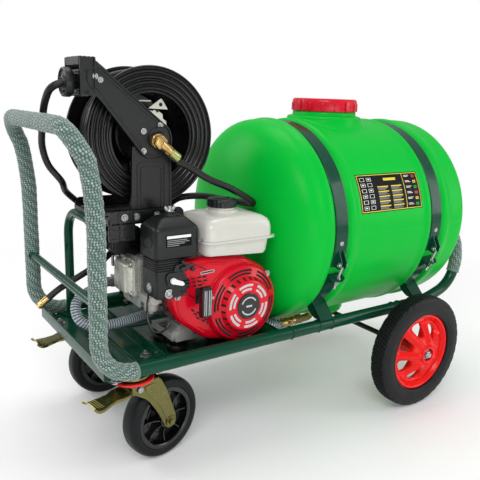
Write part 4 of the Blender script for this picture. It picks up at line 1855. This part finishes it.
# ------------------------------------------------------------------ air cleaner
part = Part()
UPPER, LOWER = (-307, -193, -197, -108), (-304, -231, -195, -116)      # x and y ranges
part.stack("z", *UPPER, [
    (498, 0.8, 15), (500, 0, 15), (557, 0.6, 15), (562, 2.2, 15), (566, 6, 14), (580, 21, 11),
    (584, 27, 10), (585, 34, 8)])
part.stack("z", *UPPER, [(484, 16, 8), (490, 5, 13), (494, 2, 14), (499, 1.6, 14)])
# ribbed band between lid and base
for i in range(4):
    z = 5.4 * i
    part.stack("z", *LOWER, [(466 + z, 3.2, 10), (467 + z, 1, 12), (470 + z, 1, 12),
                             (471.2 + z, 3.2, 10)])
part.stack("z", *LOWER, [(462, 4, 10), (498.6, 4, 10)])
part.stack("z", *LOWER, [(397, 7, 8), (400, 3, 11), (404, 1.6, 12), (460, 0.6, 12),
                         (464, 0.6, 12), (466, 3, 10)])
# round boss on the top
part.lathe("z", [(19, 581), (19, 586.6), (17.4, 588.6), (13, 589), (11.6, 591), (0, 591.4)],
           48, -248, -150)
part.make("air_cleaner_housing", SATIN, replaces="air_cleaner", angle=38, bevel=0.6)
oval = [(-152 + 29 * cos(tau * i / 48), 531 + 19 * sin(tau * i / 48)) for i in range(48)]
Part().rim(oval, 2, "x", -306, -307.9).make("air_cleaner_oval", SATIN, angle=40)
part = Part()
part.plate("y", rect(-281, -216, 520, 548, 2.4, 3), -197.6, -196.6)
part.plate("y", rect(-279, -218, 540, 546.4, 0.6, 2), -197.9, -197.2, 1)
for k, wide in enumerate((50, 56, 44, 30)):
    top, bottom = 536.4 - 4 * k, 534.8 - 4 * k
    part.plate("y", [(-278, top), (-278 + wide, top), (-278 + wide, bottom), (-278, bottom)],
               -197.9, -197.2, 2)
part.make("air_cleaner_label", [LABEL_BLACK, LABEL_WHITE, LABEL_GREY], angle=30)
part = Part()
part.lathe("z", [(0, 590.8), (5, 590.8), (5, 605), (4.2, 606), (0, 606)], 24, -248, -150)
part.lathe("z", [(0, 592.4), (9.4, 592.4), (9.8, 594), (7.6, 597.6), (6.6, 599), (0, 599)],
           32, -248, -150)
wing = rounded([(4, 594), (9, 594), (14, 600), (13.4, 605), (9.4, 605.6), (4, 599)], 2, 3)
for side in (-1, 1):
    part.plate("y", [(-248 + side * u, z) for u, z in wing], -152, -148)
part.make("air_cleaner_nut_wing", STEEL, body="air_cleaner_nut", replaces="air_cleaner_knob",
          bevel=0.5)
part = Part()
part.bolt((-303.4, -160, 421), REAR, 12, 4, dome=True)
part.bolt((-271, -194.6, 411), NEAR, 12, 4, dome=True)
part.make("air_cleaner_screws", STEEL)

# ------------------------------------------------------------------ engine controls
part = Part()
part.plate("y", rounded(
    [(-262, 402), (-236, 402), (-228, 410), (-222, 424), (-222, 440), (-232, 452), (-238, 461),
     (-275, 461), (-281, 452), (-276, 430), (-264, 420)], 4, 4), -198.6, -194.6)
part.plate("y", rounded([(-262, 462), (-226, 460), (-224, 474), (-232, 480), (-256, 478)], 4, 4),
           -198.2, -194.6)
part.box(-236, -222, -204, -196, 427, 431)
part.box(-236, -222, -204, -196, 434, 438)
# slanted block above the plates
part.loft([at("y", [(-246, 484), (-242, 489), (-214, 468), (-217, 462)], y)
           for y in (-204, -193)])
part.rod("y", 5.4, -208, -199, -216, 465.4, 24, 0.8)
part.make("choke_bracket", BLACK, angle=30, bevel=0.6)
CABLES = (                                     # radius, sample step, segments, points
    (2.6, 4, 12, [(-302, -150, 400), (-312, -166, 384), (-316, -176, 352), (-306, -182, 324),
                  (-284, -182, 316), (-262, -178, 330), (-252, -172, 352)]),
    (1.6, 3, 10, [(-240, -201, 412), (-226, -203, 404), (-214, -200, 396), (-206, -196, 392)]),
    (1.4, 3, 10, [(-214, -201, 476), (-200, -202, 470), (-186, -200, 462), (-176, -194, 456)]))
part = Part()
for radius, step, n, points in CABLES:
    part.tube(smooth_path(points, step), radius, n)
part.make("engine_cables", GLOSS, angle=50)
part = Part().rod("y", 7.4, -205.8, -198.2, -264, 442, 28, 1)
part.plate("y", rounded([(-268, 447), (-271, 438), (-262, 434.6), (-242, 428.6), (-236, 432),
                         (-240, 438), (-258, 446)], 2.6, 4), -206, -202)
part.make("choke_lever_arm", WHITE, body="choke", replaces="choke_lever", bevel=0.8)
part = Part().rod("y", 6, -203, -198.2, -240, 468, 24, 0.8)
part.plate("y", rounded([(-244, 471), (-243, 463), (-216, 471), (-211, 476), (-215, 480),
                         (-224, 478)], 2.4, 4), -204.6, -201.4)
part.make("throttle_lever_arm", GLOSS, body="throttle", replaces="throttle_lever", bevel=0.8)


# ------------------------------------------------------------------ fuel tank and cap
def fuel_level(x0, x1, y0, y1, z, radius, drop=0):
    """Rounded rectangle at z that sinks by drop towards the front."""
    return [(x, y, z - drop * ease((x + 150) / 120))
            for x, y in rect(x0, x1, y0, y1, radius, 7)]


FUEL_SHELLS = (                                # levels of base, seam flange and dome
    [(-172, -22, -202, -80, 488, 14, 8), (-181, -12, -211, -70, 490, 17, 8),
     (-184, -8, -214, -67, 496, 19, 7), (-186, -4, -216, -65, 519, 20, 0)],
    [(-186, -2, -219, -62, 520, 20), (-190, 6, -224, -59, 520.8, 22),
     (-191, 7, -225, -58, 523, 23), (-190, 6, -224, -59, 525.2, 22),
     (-186, 0, -220, -63, 526, 20)],
    [(-187, 0, -221, -62, 526, 20), (-186.6, -0.5, -220.6, -62.4, 548, 20),
     (-185, -3, -219, -64, 560, 21), (-181, -8, -215, -68, 568, 22),
     (-175, -16, -209, -74, 573.6, 24), (-166, -28, -200, -84, 577.6, 26),
     (-152, -44, -186, -98, 580.4, 26), (-138, -62, -172, -112, 582.2, 22)])
part = Part()
for levels in FUEL_SHELLS:
    part.loft([fuel_level(*level) for level in levels])
part.lathe("z", [(40, 579), (40, 585), (38.6, 586.4), (33, 587), (33, 592), (28, 592),
                 (28, 575)], 64, -100, -140)
part.plate("z", rounded([(-4, -222), (8, -216), (12, -205), (10, -192), (0, -186)],
                        [1, 3, 5, 3, 1], 4), 520.8, 525.2)
part.make("fuel_tank_shell", IVORY, replaces="fuel_tank", angle=50)
part = Part().bolts([(x, y, 525) for x in (-188, 1) for y in (-200, -84)], UP, 8, 4)
part.box(-150, -142, -100, -92, 452, 486.4)
part.make("fuel_tank_fixings", STEEL, angle=30)


def cap_ribs(r, t, a):
    return r + (1.6 * (abs(sin(a * 11)) ** 0.6) - 1.2 if r > 35 else 0)


part = Part()
part.lathe("z", [
    (0, 592.4), (35.6, 592.4), (36.6, 593.4), (36.6, 606.5), (35.4, 609.4), (32.4, 611.6),
    (27, 612.6), (25.6, 611.8), (12, 611.6), (11, 612.8), (0, 613)], 120, -100, -140,
    shape=cap_ribs)
part.plate("z", rect(-122, -78, -143, -137, 2.6, 3), 611, 613.4)
part.make("fuel_cap_ribbed", SATIN, body="fuel_filler_cap", replaces="fuel_cap", angle=40)

# ------------------------------------------------------------------ silencer
box = rect(-350, -262, 482, 534, 15, 6)
part = Part().plate("y", box, -68, 28)
for y in (-66, -20, 24):
    part.rim(box, -2.2, "y", y, y + 4)
part.rod("y", 13.6, 27, 46, -326, 508, 36, 1)
part.box(-300, -270, -40, -4, 474, 483)
part.make("silencer_box", BLACK, replaces="muffler", bevel=0.6)
part = Part()
for k in range(7):
    z = 487 + 6.6 * k
    for y0, y1 in ((-56, -32), (-20, 16)):
        part.plate("y", rect(-350.6, -349.4, z - 1.6, z + 1.6, 0.4, 2), y0, y1)
for k in range(6):
    x = -338 + 13 * k
    for y0, y1 in ((-60, -30), (-16, 16)):
        part.plate("z", rect(x - 2, x + 2, y0, y1, 1.8, 3), 533.6, 534.5)
part.make("silencer_slots", OPENING)

# ------------------------------------------------------------------ pump
part = Part().rod("y", 51.6, 44.8, 78, *CRANK, 72, 2.5)
for x, z in circle(*CRANK, 54, 8, 22):
    part.rod("y", 6, 56, 78, x, z, 16, 1)
block = rounded([(-130, 296), (-10, 296), (-2, 310), (-2, 410), (-20, 424), (-120, 424),
                 (-130, 410)], [6, 8, 8, 10, 10, 8, 6], 5)
part.plate("y", block, 78, 196)
part.rim(block, -3, "y", 80, 88)
part.rim(block, -3, "y", 184, 193)
for z in (312, 334, 356, 378, 400):
    part.box(-3, 1.4, 92, 180, z - 1.6, z + 1.6)
part.rod("z", 14, 422, 432, -66, 138, 32, 1.4)
part.lathe("y", [(0, 194), (36, 194), (38, 196), (38, 199), (34, 200.4), (26, 199), (0, 199)],
           56, CRANK_X, 362)
part.make("pump_crankcase", ALLOY, replaces="pump_body", bevel=0.8)
part = Part().bolts([(x, 56, z) for x, z in circle(*CRANK, 54, 8, 22)], NEAR, 8, 4)
part.bolts([(x, 196, z) for x, z in ((-118, 306), (-118, 412), (-14, 320), (-14, 400))],
           FAR, 10, 5)
part.bolt((-66, 138, 432), UP, 13, 8)
part.make("pump_bolts", STEEL, angle=30)

CYLINDER_YS = (108, 138, 168)
part = Part().plate("y", rect(-232, -130.6, 318, 398, 6, 4), 90, 186)
for y in CYLINDER_YS:
    part.lathe("x", [(0, -238), (11, -238), (12.4, -236.6), (12.4, -231)], 28, y, 372)
    part.lathe("z", [(0, 404), (10, 404), (11.4, 402.6), (11.4, 397)], 28, -182, y)
part.rod("x", 15, -248, -231, 140, 345, 36, 1.4)
part.lathe("x", [(15.6, -247.6), (16.6, -246.6), (16.6, -244), (15.6, -243)], 36, 140, 345)
part.rod("z", 13, 397, 421, -218, 118, 32, 1.2)
part.box(-250, -206, 104, 132, 420, 451.4)
part.rod("x", 11, -271.6, -249, 118, 432, 28, 1)
part.lathe("z", [(0, 450), (14, 450), (14, 452)], 32, -214, 118)
part.lathe("z", [(12, 396), (12, 399.6), (9, 400)], 32, -160, 150)
part.make("pump_head_brass", BRASS, replaces="pump_head", angle=32, bevel=0.7)
part = Part()
for y in CYLINDER_YS:
    part.plate("x", circle(y, 372, 8, 6), -242, -238)
    part.plate("z", circle(-182, y, 8, 6), 404, 408)
part.bolts([(-232, y, z) for y in (98, 178) for z in (326, 390)], REAR, 9, 5)
part.make("pump_head_plugs", STEEL, angle=30, bevel=0.4)

# pressure gauge on the manifold
GAUGE = GAUGE_X, GAUGE_Z = -228, 436
Part().lathe("y", [(0, 103.6), (21, 103.6), (22.4, 102), (22.4, 92), (20.6, 90.6), (19.4, 92.6),
                   (0, 92.6)], 56, *GAUGE).make("pressure_gauge_case", STEEL)
Part().lathe("y", [(19.3, 92.8), (0, 92.4)], 56, *GAUGE).make("pressure_gauge_face", LABEL_WHITE)
part = Part()
for i in range(11):
    c, s = cos(rad(-45 + 27 * i)), sin(rad(-45 + 27 * i))
    part.plate("y", [(GAUGE_X + r * c - w * s, GAUGE_Z + r * s + w * c)
                     for r, w in ((14, 0.5), (17.4, 0.5), (17.4, -0.5), (14, -0.5))], 92.3, 91.9)
c, s = cos(rad(150)), sin(rad(150))
part.plate("y", [(GAUGE_X - 0.9 * s, GAUGE_Z + 0.9 * c), (GAUGE_X + 13 * c, GAUGE_Z + 13 * s),
                 (GAUGE_X + 0.9 * s, GAUGE_Z - 0.9 * c)], 92.2, 91.7)
part.make("pressure_gauge_marks", LABEL_BLACK)


def knob_flutes(r, t, a):
    return r - (1.6 * max(0.0, cos(a * 8)) ** 2 if r > 16 else 0)


Part().lathe("z", [
    (0, 452.6), (11, 452.6), (13, 454), (16.4, 458), (17, 460), (17, 473), (15.6, 476.4),
    (12, 478), (0, 478)], 96, -214, 118, shape=knob_flutes).make(
        "regulator_knob_cap", HANDLE_RED, body="regulator", replaces="regulator_knob")
part = Part().rod("x", 6, -279.6, -272.6, 118, 432, 28, 1)
part.plate("x", rounded([(112, 398), (124, 398), (125, 430), (124, 440), (112, 440), (111, 430)],
                        4, 4), -279.4, -275.4)
part.make("bypass_lever_bar", GLOSS, body="bypass", replaces="bypass_lever", bevel=0.8)


# ------------------------------------------------------------------ stage (metres)
def floor_material():
    """Pale floor that fades into the white backdrop away from the cart, for the camera only."""
    mat = material("studio_floor", (0.86, 0.86, 0.86), rough=0.55, var=0.01, var_scale=1,
                   grain=(300, 0.02), spec=0.25)
    nodes = Nodes(mat.node_tree)
    shader = mat.node_tree.nodes["Principled BSDF"]
    shader.inputs["Emission Color"].default_value = (1, 1, 1, 1)
    shader.inputs["Emission Strength"].default_value = 0.1
    position = nodes.add("NewGeometry").outputs["Position"]
    distance = nodes.add("VectorMath", {0: position}, operation="LENGTH").outputs["Value"]
    fade = nodes.add("MapRange", {"Value": distance, "From Min": 0.9, "From Max": 2.3},
                     interpolation_type="SMOOTHSTEP").outputs["Result"]
    camera_ray = nodes.add("LightPath").outputs["Is Camera Ray"]
    mixed = nodes.add("MixShader", {0: nodes.math("MULTIPLY", fade, camera_ray),
                                    1: shader.outputs[0], 2: nodes.add("Emission").outputs[0]})
    nodes.feed(mat.node_tree.nodes["Material Output"].inputs["Surface"], mixed.outputs[0])
    return mat


FLOOR_HALF = 14
mesh = bpy.data.meshes.new("studio_floor")
mesh.from_pydata([(-FLOOR_HALF, -FLOOR_HALF, 0), (FLOOR_HALF, -FLOOR_HALF, 0),
                  (FLOOR_HALF, FLOOR_HALF, 0), (-FLOOR_HALF, FLOOR_HALF, 0)], [], [(0, 1, 2, 3)])
mesh.materials.append(floor_material())
floor_object = bpy.data.objects.new("studio_floor", mesh)
bpy.context.scene.collection.objects.link(floor_object)


def build_world():
    """Soft grey-to-white sky for the light; the camera itself sees plain white."""
    world = bpy.data.worlds.new("studio")
    bpy.context.scene.world = world
    world.use_nodes = True
    nodes = Nodes(world.node_tree)
    sky = world.node_tree.nodes["Background"]
    direction = nodes.add("SeparateXYZ", {0: nodes.add("TexCoord").outputs["Generated"]})
    height = nodes.ramp(direction.outputs["Z"], start=-1, end=1)
    ramp = nodes.add("ValToRGB", {"Fac": height})
    low, high = ramp.color_ramp.elements
    low.position, low.color = 0.45, (0.78, 0.78, 0.78, 1)
    high.position, high.color = 0.95, (1, 1, 1, 1)
    nodes.feed(sky.inputs["Color"], ramp.outputs["Color"])
    sky.inputs["Strength"].default_value = 0.55
    white = nodes.add("Background", {"Color": (1, 1, 1, 1), "Strength": 1})
    camera_ray = nodes.add("LightPath").outputs["Is Camera Ray"]
    pick = nodes.add("MixShader", {0: camera_ray, 1: sky.outputs[0], 2: white.outputs[0]})
    nodes.feed(world.node_tree.nodes["World Output"].inputs[0], pick.outputs[0])


build_world()


def area(name, location, target, size, size_y, power):
    """Rectangular area light aimed at a target."""
    light = bpy.data.lights.new(name, "AREA")
    light.energy, light.size = power, size
    light.shape, light.size_y = "RECTANGLE", size_y
    obj = bpy.data.objects.new(name, light)
    obj.location = location
    obj.rotation_mode = "QUATERNION"
    obj.rotation_quaternion = (Vector(target) - Vector(location)).to_track_quat("-Z", "Y")
    bpy.context.scene.collection.objects.link(obj)


area("key_softbox", (-1.9, -2.3, 3.0), (0, 0, 0.45), size=1.9, size_y=1.4, power=54)
area("side_softbox", (2.6, -2.2, 1.5), (0.1, 0, 0.45), size=1.2, size_y=2.2, power=26)
area("top_softbox", (0.2, 0.6, 3.4), (0.1, 0, 0.4), size=2.6, size_y=1.6, power=35)
area("rear_softbox", (-2.2, 2.4, 1.9), (0, 0, 0.5), size=1.6, size_y=1.6, power=30)
area("low_fill", (-0.4, -3.0, 0.5), (0, 0, 0.35), size=2.4, size_y=0.7, power=15)

# ------------------------------------------------------------------ camera
CAMERA_PLACE = (-875.3, -1338.6, 853.6)        # mm
AZIMUTH, ELEVATION, ROLL = rad(-34.8), rad(13.6), rad(2)
camera_data = bpy.data.cameras.new("camera")
camera_data.sensor_width = 36
camera_data.lens = 44.565
camera_data.clip_start, camera_data.clip_end = 0.05, 60
camera = bpy.data.objects.new("camera", camera_data)
bpy.context.scene.collection.objects.link(camera)
back = Vector((sin(AZIMUTH) * cos(ELEVATION), -cos(AZIMUTH) * cos(ELEVATION), sin(ELEVATION)))
right = Vector((0, 0, 1)).cross(back).normalized()
up = back.cross(right)
rolled_right = right * cos(ROLL) + up * sin(ROLL)
rolled_up = -right * sin(ROLL) + up * cos(ROLL)
camera.rotation_mode = "QUATERNION"
camera.rotation_quaternion = Matrix((rolled_right, rolled_up, back)).transposed().to_quaternion()
camera.location = metres(CAMERA_PLACE)
bpy.context.scene.camera = camera
bpy.context.scene.view_settings.view_transform = "Standard"
bpy.context.scene.view_settings.look = "None"
